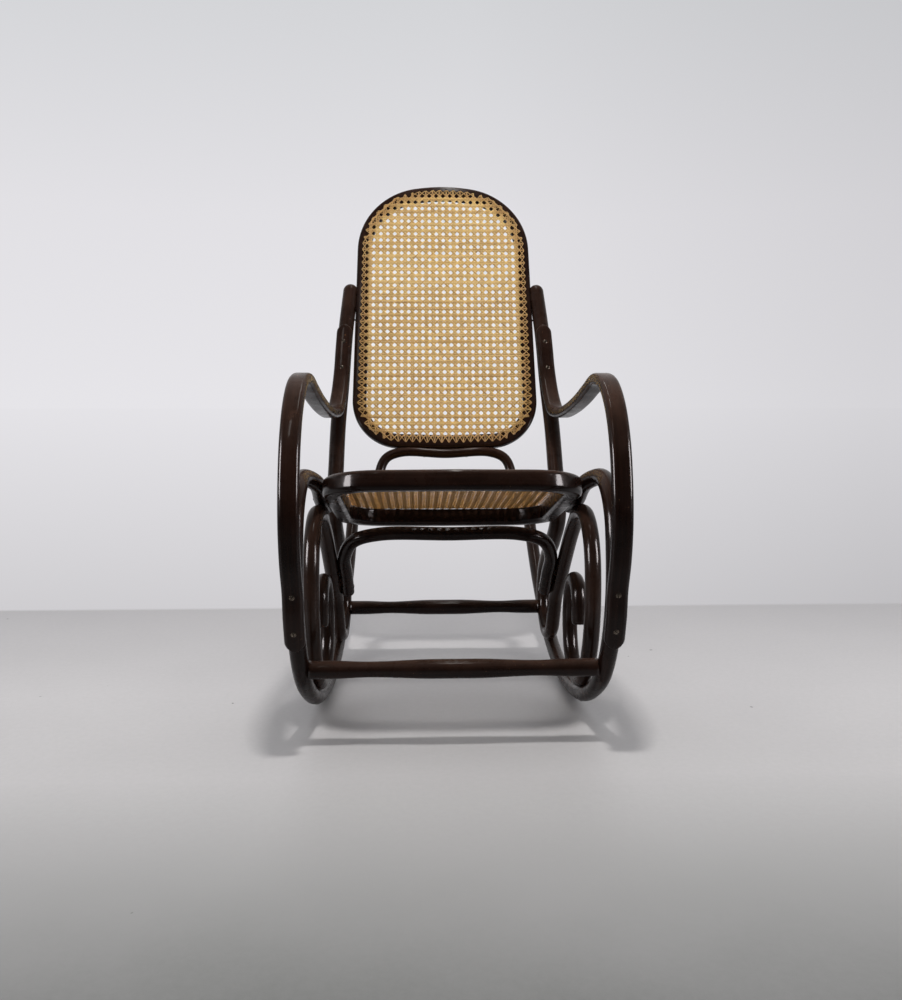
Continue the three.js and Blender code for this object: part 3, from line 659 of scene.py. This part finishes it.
def strand_course(weave, strand, ends, sag, girth, random):
    """Stations along a strand, and its places, heights and half widths there, pulled into the holes."""
    origin, direction, side, layer, wave, width = strand
    start, finish = ends
    across = np.array([-direction[1], direction[0]])
    at = strand_stations(start, finish, direction)
    flat = origin + direction * at[:, None]
    pulls = np.zeros(len(at))
    for distance, far in ((start, at - start), (finish, finish - at)):
        end = origin + direction * distance
        shift = weave.nearest_hole(end) + across * random.uniform(-HOLE_PLAY, HOLE_PLAY) - end
        pull = smooth(np.clip(1 - far / PULL_LENGTH, 0, 1))
        flat += pull[:, None] * shift
        pulls = np.maximum(pulls, pull)
    stray = random.uniform(-STRAY, STRAY)
    ripple_length = random.uniform(*RIPPLE_LENGTHS)
    stray = stray + RIPPLE * np.sin(at / ripple_length + random.uniform(0, RIPPLE_START))
    flat += (side * (1 - PULL_CLOSER * pulls) + stray)[:, None] * across
    swing = wave * np.cos(2 * math.pi * flat[:, 0] / PITCH)
    height = WEAVE_HEIGHT + girth * (layer + swing) + random.uniform(-HEIGHT_PLAY, HEIGHT_PLAY)
    nearest = np.minimum(at - start, finish - at)
    height = np.where(nearest < NEAR_HOLE[1] / 2, END_HEIGHT, height)
    dip = np.clip(1 - ((flat - weave.centre) / weave.half_size) ** 2, 0, 1)
    height = height - sag * dip[:, 0] * dip[:, 1]
    slim = np.clip((SLIM_FROM - nearest) / SLIM_OVER, 0, 1)
    half_width = width * (1 + girth) / 4 * random.uniform(*WIDTH_PLAY)
    return at, flat, height, half_width * (1 - SLIMMER * slim)


def caning(name, weave, place, material, node, sag, girth, seed):
    """Six-way caning: pairs up and down, pairs across, and two sets of diagonals woven between them."""
    random = np.random.default_rng(seed)
    sides = len(STRAND_SECTION)
    thickness = STRAND_THICKNESS * girth
    verts, faces, uvs, darker = [], [], [], []
    number = 0
    for strand in weave.strands():
        origin, direction = strand[:2]
        ends = inside_range(weave.edge, origin, direction)
        if ends is None:
            continue
        at, flat, heights, widths = strand_course(weave, strand, ends, sag, girth, random)
        across = np.array([-direction[1], direction[0]])
        faces += band_faces(len(verts), len(at), sides)
        # Painted shade, partly stain: strands grow darker towards the outline, where they lie over the dark
        # frame.
        depths = np.linalg.norm(flat[:, None] - weave.edge[None], axis=2).min(axis=1)
        for (x, y), z, w, depth in zip(flat, heights, widths, depths):
            for u, v in STRAND_SECTION:
                verts.append((x + across[0] * u * w, y + across[1] * u * w, z + thickness * v))
            darker += [min(1.0, max(0.0, (DARK_FROM - depth) / DARK_OVER))] * sides
        for first, last in zip(at[:-1] * MM, at[1:] * MM):
            for k in range(sides):
                low, high = (number + (k + half) / (sides + 1) for half in (0.5, 1.5))
                uvs += [(first, low), (first, high), (last, high), (last, low)]
        number += 1
    piece = add_piece(name, placed(np.array(verts), place), faces, uvs, material, (node,))
    rim = piece.data.attributes.new("rim", "FLOAT", "POINT")
    rim.data.foreach_set("value", np.array(darker, dtype=np.float32))
    return piece


def hole_mouths(name, weave, place, material):
    """Shallow cups, near-black with painted shade, where the strands go down into the frame."""
    verts, faces, uvs = [], [], []
    circle = round_section(1.0, CUP_SIDES)
    for x, y in weave.holes:
        cup = band_faces(len(verts), len(CUP), CUP_SIDES)
        for diameter, z in CUP:
            verts += [(x + u * diameter, y + v * diameter, z) for u, v in circle]
        cup.append(tuple(range(len(verts) - CUP_SIDES, len(verts))))
        uvs += [(x * MM, y * MM) for face in cup for _ in face]
        faces += cup
    return add_piece(name, placed(np.array(verts), place), faces, uvs, material)


# Screws

def packed_screw(node):
    """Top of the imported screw's head, the direction out of the wood, and the screw's length."""
    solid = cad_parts[node].data
    points = np.array([v.co[:] for v in solid.vertices]) / MM
    middle = points.mean(axis=0)
    _, _, axes = np.linalg.svd(points - middle, full_matrices=False)
    axis = axes[0]
    along = (points - middle) @ axis
    off = np.linalg.norm((points - middle) - along[:, None] * axis, axis=1)
    if along[np.argmax(off)] < 0:
        axis, along = -axis, -along
    return middle + axis * along.max(), axis, along.max() - along.min()


def slot_directions(node, axis):
    """Directions along and across the slot, turned by an angle that follows from the screw's name."""
    number = 0
    for letter in node:
        number = (number * 31 + ord(letter)) % 1009
    turn = (number % 180) * math.pi / 180
    across = unit(np.cross(axis, (0.31, 0.52, 0.79)))
    other = np.cross(axis, across)
    along_slot = across * math.cos(turn) + other * math.sin(turn)
    return along_slot, other * math.cos(turn) - across * math.sin(turn)


def slotted_head():
    """Points and faces of a domed head, in rows along its slot."""
    flank = [share * HEAD_RADIUS for share in HEAD_ROWS] + [-HALF_SLOT]
    rows = [(y, 0) for y in flank]
    rows += [(-HALF_SLOT, SLOT_DEPTH), (HALF_SLOT, SLOT_DEPTH)]
    rows += [(-y, 0) for y in flank[::-1]]
    verts, faces = [], []
    for y, depth in rows:
        half = math.sqrt(HEAD_RADIUS**2 - y**2)
        for x in np.linspace(-half, half, HEAD_COLUMNS):
            dome = HEAD_RISE * (1 - (x * x + y * y) / HEAD_RADIUS**2) - HEAD_RISE
            verts.append((x, y, dome - depth))
    for i in range(len(rows) - 1):
        for k in range(HEAD_COLUMNS - 1):
            a = i * HEAD_COLUMNS + k
            faces.append((a, a + 1, a + HEAD_COLUMNS + 1, a + HEAD_COLUMNS))
    return verts, faces


def screw(node, material):
    """Countersunk screw with a domed, slotted head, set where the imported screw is."""
    top, axis, length = packed_screw(node)
    if "loop_to_runner" in node:
        length -= LOOP_SCREW_TRIM
    along_slot, over_slot = slot_directions(node, axis)
    verts, faces = slotted_head()
    stations = [(HEAD_RADIUS, -HEAD_RISE), *COUNTERSINK]
    stations += [(SHANK_RADIUS, TAPER_LENGTH - length), (POINT_RADIUS, POINT_SHORT - length)]
    faces += band_faces(len(verts), len(stations), SHANK_SIDES)
    circle = round_section(2.0, SHANK_SIDES)
    for radius, z in stations:
        verts += [(u * radius, v * radius, z) for u, v in circle]
    faces.append(tuple(range(len(verts) - SHANK_SIDES, len(verts))))
    local = np.array(verts)
    world = top + local[:, :1] * along_slot + local[:, 1:2] * over_slot + local[:, 2:] * axis
    uvs = [(local[v][0] * MM, local[v][1] * MM) for face in faces for v in face]
    return add_piece("slotted_" + node, world, faces, uvs, material, (node,), rounded=False)


# Materials

class Nodes:
    """A node tree, with short calls for its nodes."""

    def __init__(self, tree):
        self.tree = tree
        self.coord = tree.nodes.new("ShaderNodeTexCoord")

    def fill(self, node, inputs):
        """Links or sets the inputs of a node."""
        for key, value in inputs.items():
            if isinstance(value, bpy.types.NodeSocket):
                self.tree.links.new(value, node.inputs[key])
            else:
                node.inputs[key].default_value = value
        return node

    def add(self, kind, inputs, **settings):
        node = self.tree.nodes.new(kind)
        for key, value in settings.items():
            setattr(node, key, value)
        return self.fill(node, inputs)

    def noise(self, source, scale, size, detail, rough):
        mapping = self.add("ShaderNodeMapping", {"Vector": self.coord.outputs[source], "Scale": scale})
        inputs = {"Vector": mapping.outputs[0], "Scale": size, "Detail": detail, "Roughness": rough}
        return self.add("ShaderNodeTexNoise", inputs).outputs["Fac"]

    def clouds(self, size, detail, rough=0.55):
        """Noise that is even in all directions, with so many lumps to the metre."""
        return self.noise("Object", (1, 1, 1), size, detail, rough)

    def streaks(self, along, across, detail, rough=0.55):
        """Noise drawn out along a rail or strand, with so many lumps to the metre along and across."""
        return self.noise("UV", (along, across, 1.0), 1.0, detail, rough)

    def ramp(self, value, stops):
        node = self.add("ShaderNodeValToRGB", {"Fac": value})
        elements = node.color_ramp.elements
        while len(elements) < len(stops):
            elements.new(0.5)
        for element, (place, colour) in zip(elements, stops):
            element.position = place
            element.color = (*colour, 1)
        return node.outputs["Color"]

    def steps(self, value, low, high, first=0.0, last=1.0):
        """The value, spread from its range between low and high to the range between first and last."""
        inputs = {"Value": value, "From Min": low, "From Max": high, "To Min": first, "To Max": last}
        return self.add("ShaderNodeMapRange", inputs).outputs[0]

    def math(self, kind, a, b=0.0):
        return self.add("ShaderNodeMath", {0: a, 1: b}, operation=kind).outputs[0]

    def times(self, a, b):
        return self.math("MULTIPLY", a, b)

    def mix(self, share, a, b):
        """Colour a with the given share of the plain colour or socket b."""
        other = b if isinstance(b, bpy.types.NodeSocket) else (*b, 1)
        return self.add("ShaderNodeMix", {0: share, 6: a, 7: other}, data_type="RGBA").outputs[2]

    def mix_shaders(self, share, a, b):
        return self.add("ShaderNodeMixShader", {0: share, 1: a, 2: b}).outputs[0]

    def split(self, vector):
        return self.add("ShaderNodeSeparateXYZ", {"Vector": vector}).outputs

    def bump(self, height, strength, distance):
        inputs = {"Height": height, "Strength": strength, "Distance": distance}
        return self.add("ShaderNodeBump", inputs).outputs[0]


class Paint(Nodes):
    """A material with one principled shader."""

    def __init__(self, name):
        self.material = bpy.data.materials.new(name)
        self.material.use_nodes = True
        super().__init__(self.material.node_tree)
        self.bsdf = self.tree.nodes["Principled BSDF"]

    def finish(self, **sockets):
        self.fill(self.bsdf, {key.replace("_", " "): value for key, value in sockets.items()})
        return self.material


# Lacquer: colours along its streaks, then its red patches, its dust, which also lightens whole rails as
# painted light, the rubbed wood and the chips
LACQUER_STREAKS = [
    (0.3, (0.005, 0.0021, 0.0015)), (0.55, (0.01, 0.0041, 0.0028)), (0.8, (0.02, 0.0084, 0.0055)),
]
LACQUER_RED = (0.03, 0.0115, 0.0075)
LACQUER_DUST_AND_PAINTED_LIGHT = (0.075, 0.043, 0.031)
RUBBED_WOOD = [(0.3, (0.055, 0.024, 0.016)), (0.7, (0.13, 0.068, 0.046))]
CHIPPED_WOOD = (0.20, 0.10, 0.05)

# Cane: colours over its tone, then its patches, knots, darker ends of stain and painted shade, and the worn
# seat, darkened also with painted shade
CANE_TONES = [(0.25, (0.37, 0.20, 0.055)), (0.45, (0.60, 0.395, 0.135)), (0.75, (0.74, 0.52, 0.20))]
CANE_PATCH = (0.47, 0.28, 0.10)
CANE_KNOT = (0.20, 0.10, 0.035)
CANE_ENDS_STAIN_AND_SHADE = (0.33, 0.16, 0.05)
CANE_WORN_AND_SHADED = (0.40, 0.165, 0.045)

# Painted shade in the holes, and steel
HOLE_SHADE = [(0.3, (0.004, 0.003, 0.002)), (0.8, (0.02, 0.011, 0.007))]
STEEL = [(0.3, (0.03, 0.021, 0.015)), (0.7, (0.18, 0.15, 0.12))]

# Where the wear of the arms begins and is full, in metres: upwards, and from the rear towards the front
CREST_HEIGHT = (0.50, 0.56)
CREST_DEPTH = (0.12, 0.02)


def dust_and_painted_light_share(p, cloud, upward, painted_light):
    """Dust on faces that look up, and painted light: a lighter tone over the whole rail where it stands in
    stronger light.
    """
    settled = p.times(p.steps(upward, 0.08, 0.95), p.steps(cloud, 0.3, 0.7, 0.35, 0.9))
    return p.math("MAXIMUM", settled, p.steps(cloud, 0.3, 0.7, 0.7 * painted_light, 1.3 * painted_light))


def rubbed_share(p, cloud, fine, wear, worn_crest):
    """Places rubbed down to the wood, and on the arms the edges of the crest."""
    rub = p.math("ADD", p.clouds(26.0, detail=6.0, rough=0.65), p.steps(fine, 0.3, 0.7, -0.05, 0.05))
    rubbed = p.steps(rub, 0.74 - 0.2 * wear, 0.84 - 0.16 * wear)
    if not worn_crest:
        return rubbed
    place = p.split(p.coord.outputs["Object"])
    crest = p.times(p.steps(place["Z"], *CREST_HEIGHT), p.steps(place["Y"], *CREST_DEPTH))
    edge = p.steps(p.add("ShaderNodeNewGeometry", {}).outputs["Pointiness"], 0.515, 0.56)
    edge = p.times(p.times(edge, crest), p.steps(cloud, 0.35, 0.6, 0.3, 1.0))
    return p.math("MAXIMUM", p.times(rubbed, p.steps(crest, 0.0, 1.0, 0.25, 1.0)), edge)


def lacquer(name, wear, underside, painted_light=0.0, worn_crest=False):
    """Dark brown lacquer over bent beech: streaks along the rail, rubbed places and small chips."""
    p = Paint(name)
    streak = p.streaks(5.0, 190.0, detail=5.0, rough=0.6)
    fine = p.streaks(22.0, 900.0, detail=3.0, rough=0.6)
    cloud = p.clouds(11.0, detail=3.0)
    upward = p.split(p.add("ShaderNodeNewGeometry", {}).outputs["Normal"])["Z"]
    rubbed = rubbed_share(p, cloud, fine, wear, worn_crest)
    chip = p.steps(p.clouds(210.0, detail=2.0), 0.70, 0.72)
    chip = p.times(chip, p.steps(p.clouds(17.0, detail=2.0), 0.57, 0.64))
    colour = p.ramp(streak, LACQUER_STREAKS)
    colour = p.mix(p.steps(cloud, 0.45, 0.75, 0.0, 0.4), colour, LACQUER_RED)
    # Dust on faces that look up, and on the scroll painted light: a lighter tone over all of it.
    colour = p.mix(p.times(dust_and_painted_light_share(p, cloud, upward, painted_light), 0.55), colour, LACQUER_DUST_AND_PAINTED_LIGHT)
    colour = p.mix(p.times(rubbed, 0.5), colour, p.ramp(fine, RUBBED_WOOD))
    colour = p.mix(p.times(chip, 0.7), colour, CHIPPED_WOOD)
    rough = p.steps(p.clouds(34.0, detail=4.0), 0.35, 0.7, 0.22, 0.38)
    rough = p.math("ADD", rough, p.times(rubbed, 0.2))
    height = p.math("ADD", streak, p.times(fine, 0.35))
    height = p.math("SUBTRACT", height, p.times(chip, 0.8))
    return p.finish(
        Base_Color=colour,
        Roughness=rough,
        Specular_IOR_Level=0.05,
        Normal=p.bump(height, 0.2, 0.0005),
        Coat_Weight=p.steps(upward, -0.9, -0.1, underside, 0.25),
        Coat_Roughness=0.1,
        Coat_Normal=p.bump(height, 0.06, 0.0004),
    )


def cane(name, worn, gloss):
    """Split cane: each strand its own tone, with fine lengthwise fibres and darker growth marks."""
    p = Paint(name)
    strand = p.math("FLOOR", p.split(p.coord.outputs["UV"])["Y"])
    own = p.add("ShaderNodeTexWhiteNoise", {"W": strand}, noise_dimensions="1D").outputs["Value"]
    along = p.streaks(18.0, 1.0, detail=3.0)
    fibre = p.streaks(60.0, 14.0, detail=3.0, rough=0.6)
    cloud = p.clouds(7.0, detail=4.0)
    knot = p.steps(p.streaks(55.0, 1.0, detail=1.0), 0.74, 0.78)
    near_hole = p.add("ShaderNodeAttribute", {}, attribute_name="rim").outputs["Fac"]
    tone = p.math("ADD", p.times(own, 0.35), p.times(along, 0.45))
    tone = p.math("ADD", tone, p.times(fibre, 0.25))
    colour = p.ramp(tone, CANE_TONES)
    colour = p.mix(p.steps(cloud, 0.4, 0.75, 0.0, 0.4), colour, CANE_PATCH)
    colour = p.mix(p.times(knot, 0.6), colour, CANE_KNOT)
    # Painted shade, partly stain: darker near the holes, where the strands lie over the dark frame.
    colour = p.mix(p.times(near_hole, 0.5), colour, CANE_ENDS_STAIN_AND_SHADE)
    # Wear and painted shade: a darker, more orange seat cane, as it is seen from below.
    colour = p.mix(worn, colour, CANE_WORN_AND_SHADED)
    return p.finish(
        Base_Color=colour,
        Roughness=p.steps(fibre, 0.3, 0.7, 0.4, 0.6),
        Specular_IOR_Level=gloss,
        Normal=p.bump(fibre, 0.3, 0.0002),
    )


def shadowed(name):
    """Painted shade: near-black wood in the mouths of the holes, for the shade deep in them."""
    p = Paint(name)
    colour = p.ramp(p.clouds(300.0, detail=3.0), HOLE_SHADE)
    return p.finish(Base_Color=colour, Roughness=0.9, Specular_IOR_Level=0.1)


def steel(name):
    """Dulled steel with a brown film."""
    p = Paint(name)
    cloud = p.clouds(420.0, detail=4.0)
    return p.finish(
        Base_Color=p.ramp(cloud, STEEL),
        Roughness=p.steps(cloud, 0.3, 0.7, 0.14, 0.3),
        Metallic=0.85,
        Normal=p.bump(cloud, 0.2, 0.0002),
    )


# Chair

def steady(section):
    """A section that stays the same over the whole length of a rail."""
    return lambda share: section


def scroll_section(share):
    """The scroll's section, which grows thinner below the top of the stile."""
    thinned = smooth(min(1.0, max(0.0, (share - THINS_FROM) / THINS_OVER)))
    return round_section(SCROLL_DIAMETER - SCROLL_THINNED * thinned)


def side_frames(runner, scroll, dark, painted_light_scroll, worn):
    """The runner, scroll and arm of both sides."""
    rails = (
        ("runner", runner, steady(round_section(RUNNER_DIAMETER)), (RUNNER_END, RUNNER_END), dark),
        ("scroll", scroll, scroll_section, (STILE_END, SPIRAL_END), painted_light_scroll),
        ("arm", arm_line(runner, scroll), steady(flat_section(*ARM_STRIP)), (ARM_END, ARM_END), worn),
    )
    for side, turned_over in (("left", list), ("right", mirrored)):
        for part, line, section, ends, material in rails:
            rail(f"{side}_bent_{part}", turned_over(line), section, ACROSS, ends, material, f"{side}_{part}")


def arches(scroll, material):
    """The arch under the seat and the arch below the back, each bent in a leaning plane."""
    for name, line, diameter, node in (
        ("bent_under_arch", under_arch_line(scroll), UNDER_ARCH_DIAMETER, "under_seat_arch"),
        ("bent_back_arch", back_arch_line(), BACK_ARCH_DIAMETER, "back_arch"),
    ):
        rise = np.array(line[len(line) // 2]) - np.array(line[0])
        rise[0] = 0
        level = unit(np.cross(ACROSS, rise))
        rail(name, line, steady(round_section(diameter)), level, (ARCH_END, ARCH_END), material, node)


dark_lacquer = lacquer("dark_lacquer", wear=0.15, underside=0.08)
# Painted light: the scroll, with its stiles, is made lighter all over for the stronger light on them.
painted_light_lacquer = lacquer("painted_light_lacquer", wear=0.15, underside=0.08, painted_light=0.33)
arm_lacquer = lacquer("arm_lacquer", wear=0.45, underside=0.2, worn_crest=True)
honey_cane = cane("honey_cane", worn=0.0, gloss=0.4)
# The seat cane: wear, and painted shade that darkens it.
worn_shaded_cane = cane("worn_shaded_cane", worn=0.6, gloss=0.08)
hole_dark = shadowed("hole_dark")
dull_steel = steel("dull_steel")

left_runner = runner_line()
left_scroll = scroll_line(left_runner)
side_frames(left_runner, left_scroll, dark_lacquer, painted_light_lacquer, arm_lacquer)
arches(left_scroll, dark_lacquer)
bent_ring("bent_seat_ring", SEAT_CORNERS, SEAT_PLACE, SEAT_RING, dark_lacquer, "seat_ring")
bent_ring("bent_back_frame", BACK_CORNERS, BACK_PLACE, BACK_FRAME, dark_lacquer, "back_frame")
turned("turned_front_stretcher", *FRONT_STRETCHER, dark_lacquer, "front_stretcher")
turned("turned_rear_stretcher", *REAR_STRETCHER, dark_lacquer, "rear_stretcher")

seat_weave = Weave(SEAT_CORNERS, inset=20.0, rows=17, margin=0.65)
back_weave = Weave(BACK_CORNERS, inset=10.5, rows=20, margin=0.95)
back_strands = {"sag": 1.5, "girth": 1.0, "seed": 11}
seat_strands = {"sag": 3.5, "girth": 1.27, "seed": 23}
caning("woven_back", back_weave, BACK_PLACE, honey_cane, "back_cane", **back_strands)
caning("woven_seat", seat_weave, SEAT_PLACE, worn_shaded_cane, "seat_cane", **seat_strands)
hole_mouths("back_hole_mouths", back_weave, BACK_PLACE, hole_dark)
hole_mouths("seat_hole_mouths", seat_weave, SEAT_PLACE, hole_dark)

for node in sorted(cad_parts):
    if "screw" in node:
        screw(node, dull_steel)


# Floor, light and camera

# Camera: place in metres, degrees that it looks down and to the right, lens and sensor in millimetres
CAMERA_PLACE = (-0.060, -1.923, 0.593)
CAMERA_DOWN = 6.44
CAMERA_RIGHT = 2.06
CAMERA_LENS = 33.48
CAMERA_SENSOR = 36.0

# Floor: half its size, its level, and its colours from the front to the rear end of the painted range; these
# colours are painted shade, darker towards the front
FLOOR_REACH = 40.0
FLOOR_LEVEL = -0.0005
FLOOR_RANGE = (-1.1, 0.7)
FLOOR_SHADE_COLOURS = [
    (0.0, (0.11, 0.114, 0.11)), (0.16, (0.265, 0.265, 0.265)), (0.32, (0.425, 0.418, 0.425)),
    (0.55, (0.458, 0.449, 0.458)), (1.0, (0.385, 0.377, 0.389)),
]
FLOOR_MOTTLE = (0.34, 0.33, 0.34)
FLOOR_GRAIN = (0.25, 0.25, 0.25)
FLOOR_SPECK = (0.06, 0.06, 0.06)

# Where the floor goes over into the wall, and the wall's colours low down and above; these colours and the
# weaker glow on the right are painted shade, darker near the floor line, towards the top and on the right
WALL_LINE = (0.635, 0.655)
LOW_WALL = [(0.0, (0.79, 0.78, 0.81)), (0.39, (0.62, 0.61, 0.63))]
HIGH_WALL = [(0.0, (0.79, 0.78, 0.81)), (0.18, (0.76, 0.75, 0.78)), (0.42, (0.63, 0.64, 0.66))]
WALL_RIGHT_SHADE = 0.85

# The room's shades from front to rear, how blue they are, and their strength as light and in reflections
ROOM_SHADES = ((0.1, 0.035), (0.4, 0.13), (0.55, 0.24), (0.72, 0.58), (1.0, 0.68))
ROOM_BLUE = 1.02
ROOM_LIGHT = 2.4
ROOM_SHINE = 1.0

# Lamps: name, place, aim, size, power and colour. The first four give reflections only, the others light only
WARM = (1.0, 0.98, 0.95)
ROSE = (1.0, 0.94, 0.96)
SHINING_LAMPS = (
    ("left_strip", (-1.95, -1.2, 1.1), (0, -0.2, 0.45), (0.75, 0.9), 80, ROSE),
    ("right_strip", (1.95, -1.2, 1.1), (0, -0.2, 0.45), (0.75, 0.9), 70, ROSE),
    ("ceiling_strip", (0.1, -0.1, 2.7), (0.1, -0.1, 0.2), (1.8, 0.1), 9, WARM),
    ("streak_box", (-0.55, -1.7, 2.35), (-0.2, 0.1, 0.65), (0.06, 0.5), 1.0, WARM),
)
LIGHTING_LAMPS = (
    ("left_fill", (-2.2, -0.3, 2.1), (0, -0.1, 0.2), (1.6, 1.6), 14, WARM),
    ("right_fill", (2.2, -0.3, 2.1), (0, -0.1, 0.2), (1.6, 1.6), 14, WARM),
    ("top_box", (0.0, -0.95, 2.7), (0, -0.15, 0.2), (0.2, 0.16), 43, WARM),
    ("front_box", (0.15, -2.4, 2.6), (0, -0.1, 0.1), (0.5, 0.4), 7, WARM),
)


def floor_paint():
    """Mottled grey floor with painted shade, darker towards the front, which the camera sees go over into the
    wall behind the chair.
    """
    p = Paint("floor_paint")
    place = p.split(p.coord.outputs["Object"])
    # Painted shade: the floor's colour grows darker towards the front.
    near = p.ramp(p.steps(place["Y"], *FLOOR_RANGE), FLOOR_SHADE_COLOURS)
    mottle = p.clouds(2.2, detail=4.0)
    near = p.mix(p.steps(mottle, 0.3, 0.7, 0.0, 0.22), near, FLOOR_MOTTLE)
    grain = p.clouds(90.0, detail=5.0, rough=0.7)
    near = p.mix(p.steps(grain, 0.3, 0.7, 0.0, 0.14), near, FLOOR_GRAIN)
    speck = p.steps(p.clouds(34.0, detail=1.0, rough=0.5), 0.80, 0.81)
    near = p.mix(p.times(speck, 0.8), near, FLOOR_SPECK)
    p.finish(Base_Color=near, Roughness=0.55, Specular_IOR_Level=0.25)
    # Painted shade on the glowing wall beyond the floor: darker near the floor line, and a weaker glow on the
    # right.
    distance = p.math("MAXIMUM", p.math("ADD", place["Y"], -CAMERA_PLACE[1]), 0.1)
    far = p.ramp(p.math("DIVIDE", 1.0, distance), LOW_WALL)
    strength = p.steps(p.math("DIVIDE", place["X"], distance), 0.05, 0.5, 1.0, WALL_RIGHT_SHADE)
    glow = p.add("ShaderNodeEmission", {"Color": far, "Strength": strength})
    path = p.add("ShaderNodeLightPath", {}).outputs
    seen = p.math("MAXIMUM", path["Is Camera Ray"], path["Is Glossy Ray"])
    beyond = p.times(p.steps(place["Y"], *WALL_LINE), seen)
    shader = p.mix_shaders(beyond, p.bsdf.outputs[0], glow.outputs[0])
    p.fill(p.tree.nodes["Material Output"], {"Surface": shader})
    return p.material


def make_floor():
    mesh = bpy.data.meshes.new("floor")
    quarters = ((-1, -1), (1, -1), (1, 1), (-1, 1))
    corners = [(x * FLOOR_REACH, y * FLOOR_REACH, FLOOR_LEVEL) for x, y in quarters]
    mesh.from_pydata(corners, [], [(0, 1, 2, 3)])
    mesh.materials.append(floor_paint())
    floor = bpy.data.objects.new("floor", mesh)
    bpy.context.scene.collection.objects.link(floor)


def make_world():
    """The wall that the camera sees, and the light that the room gives to everything else."""
    world = bpy.data.worlds.new("studio")
    bpy.context.scene.world = world
    world.use_nodes = True
    p = Nodes(world.node_tree)
    side = p.split(p.coord.outputs["Generated"])
    path = p.add("ShaderNodeLightPath", {}).outputs
    # Painted shade on the wall that the camera sees: darker towards the top and on the right.
    wall = p.fill(p.tree.nodes["Background"], {
        "Color": p.ramp(side["Z"], HIGH_WALL),
        "Strength": p.steps(side["X"], 0.05, 0.45, 1.0, WALL_RIGHT_SHADE),
    })
    shades = [(place, (shade, shade, shade * ROOM_BLUE)) for place, shade in ROOM_SHADES]
    room = p.add("ShaderNodeBackground", {
        "Color": p.ramp(p.steps(side["Y"], -1.0, 1.0), shades),
        "Strength": p.steps(path["Is Glossy Ray"], 0.0, 1.0, ROOM_LIGHT, ROOM_SHINE),
    })
    seen = p.math("MAXIMUM", path["Is Camera Ray"], path["Is Transmission Ray"])
    shader = p.mix_shaders(seen, room.outputs[0], wall.outputs[0])
    p.fill(p.tree.nodes["World Output"], {"Surface": shader})


def softbox(name, place, target, size, power, colour, shining):
    data = bpy.data.lights.new(name, "AREA")
    data.shape = "RECTANGLE"
    data.size, data.size_y = size
    data.energy = power
    data.color = colour
    lamp = bpy.data.objects.new(name, data)
    lamp.location = place
    lamp.visible_glossy = shining
    lamp.visible_diffuse = not shining
    towards = np.array(target) - np.array(place)
    pitch = math.atan2(math.hypot(towards[0], towards[1]), -towards[2])
    lamp.rotation_euler = (pitch, 0, math.atan2(towards[1], towards[0]) - math.pi / 2)
    bpy.context.scene.collection.objects.link(lamp)


def make_camera():
    data = bpy.data.cameras.new("camera")
    data.lens = CAMERA_LENS
    data.sensor_width = CAMERA_SENSOR
    camera = bpy.data.objects.new("camera", data)
    camera.location = CAMERA_PLACE
    camera.rotation_euler = (math.radians(90 - CAMERA_DOWN), 0, math.radians(-CAMERA_RIGHT))
    bpy.context.scene.collection.objects.link(camera)
    bpy.context.scene.camera = camera


make_floor()
make_world()
for lamp_values in SHINING_LAMPS:
    softbox(*lamp_values, shining=True)
for lamp_values in LIGHTING_LAMPS:
    softbox(*lamp_values, shining=False)
make_camera()

scene = bpy.context.scene
scene.view_settings.view_transform = "Standard"
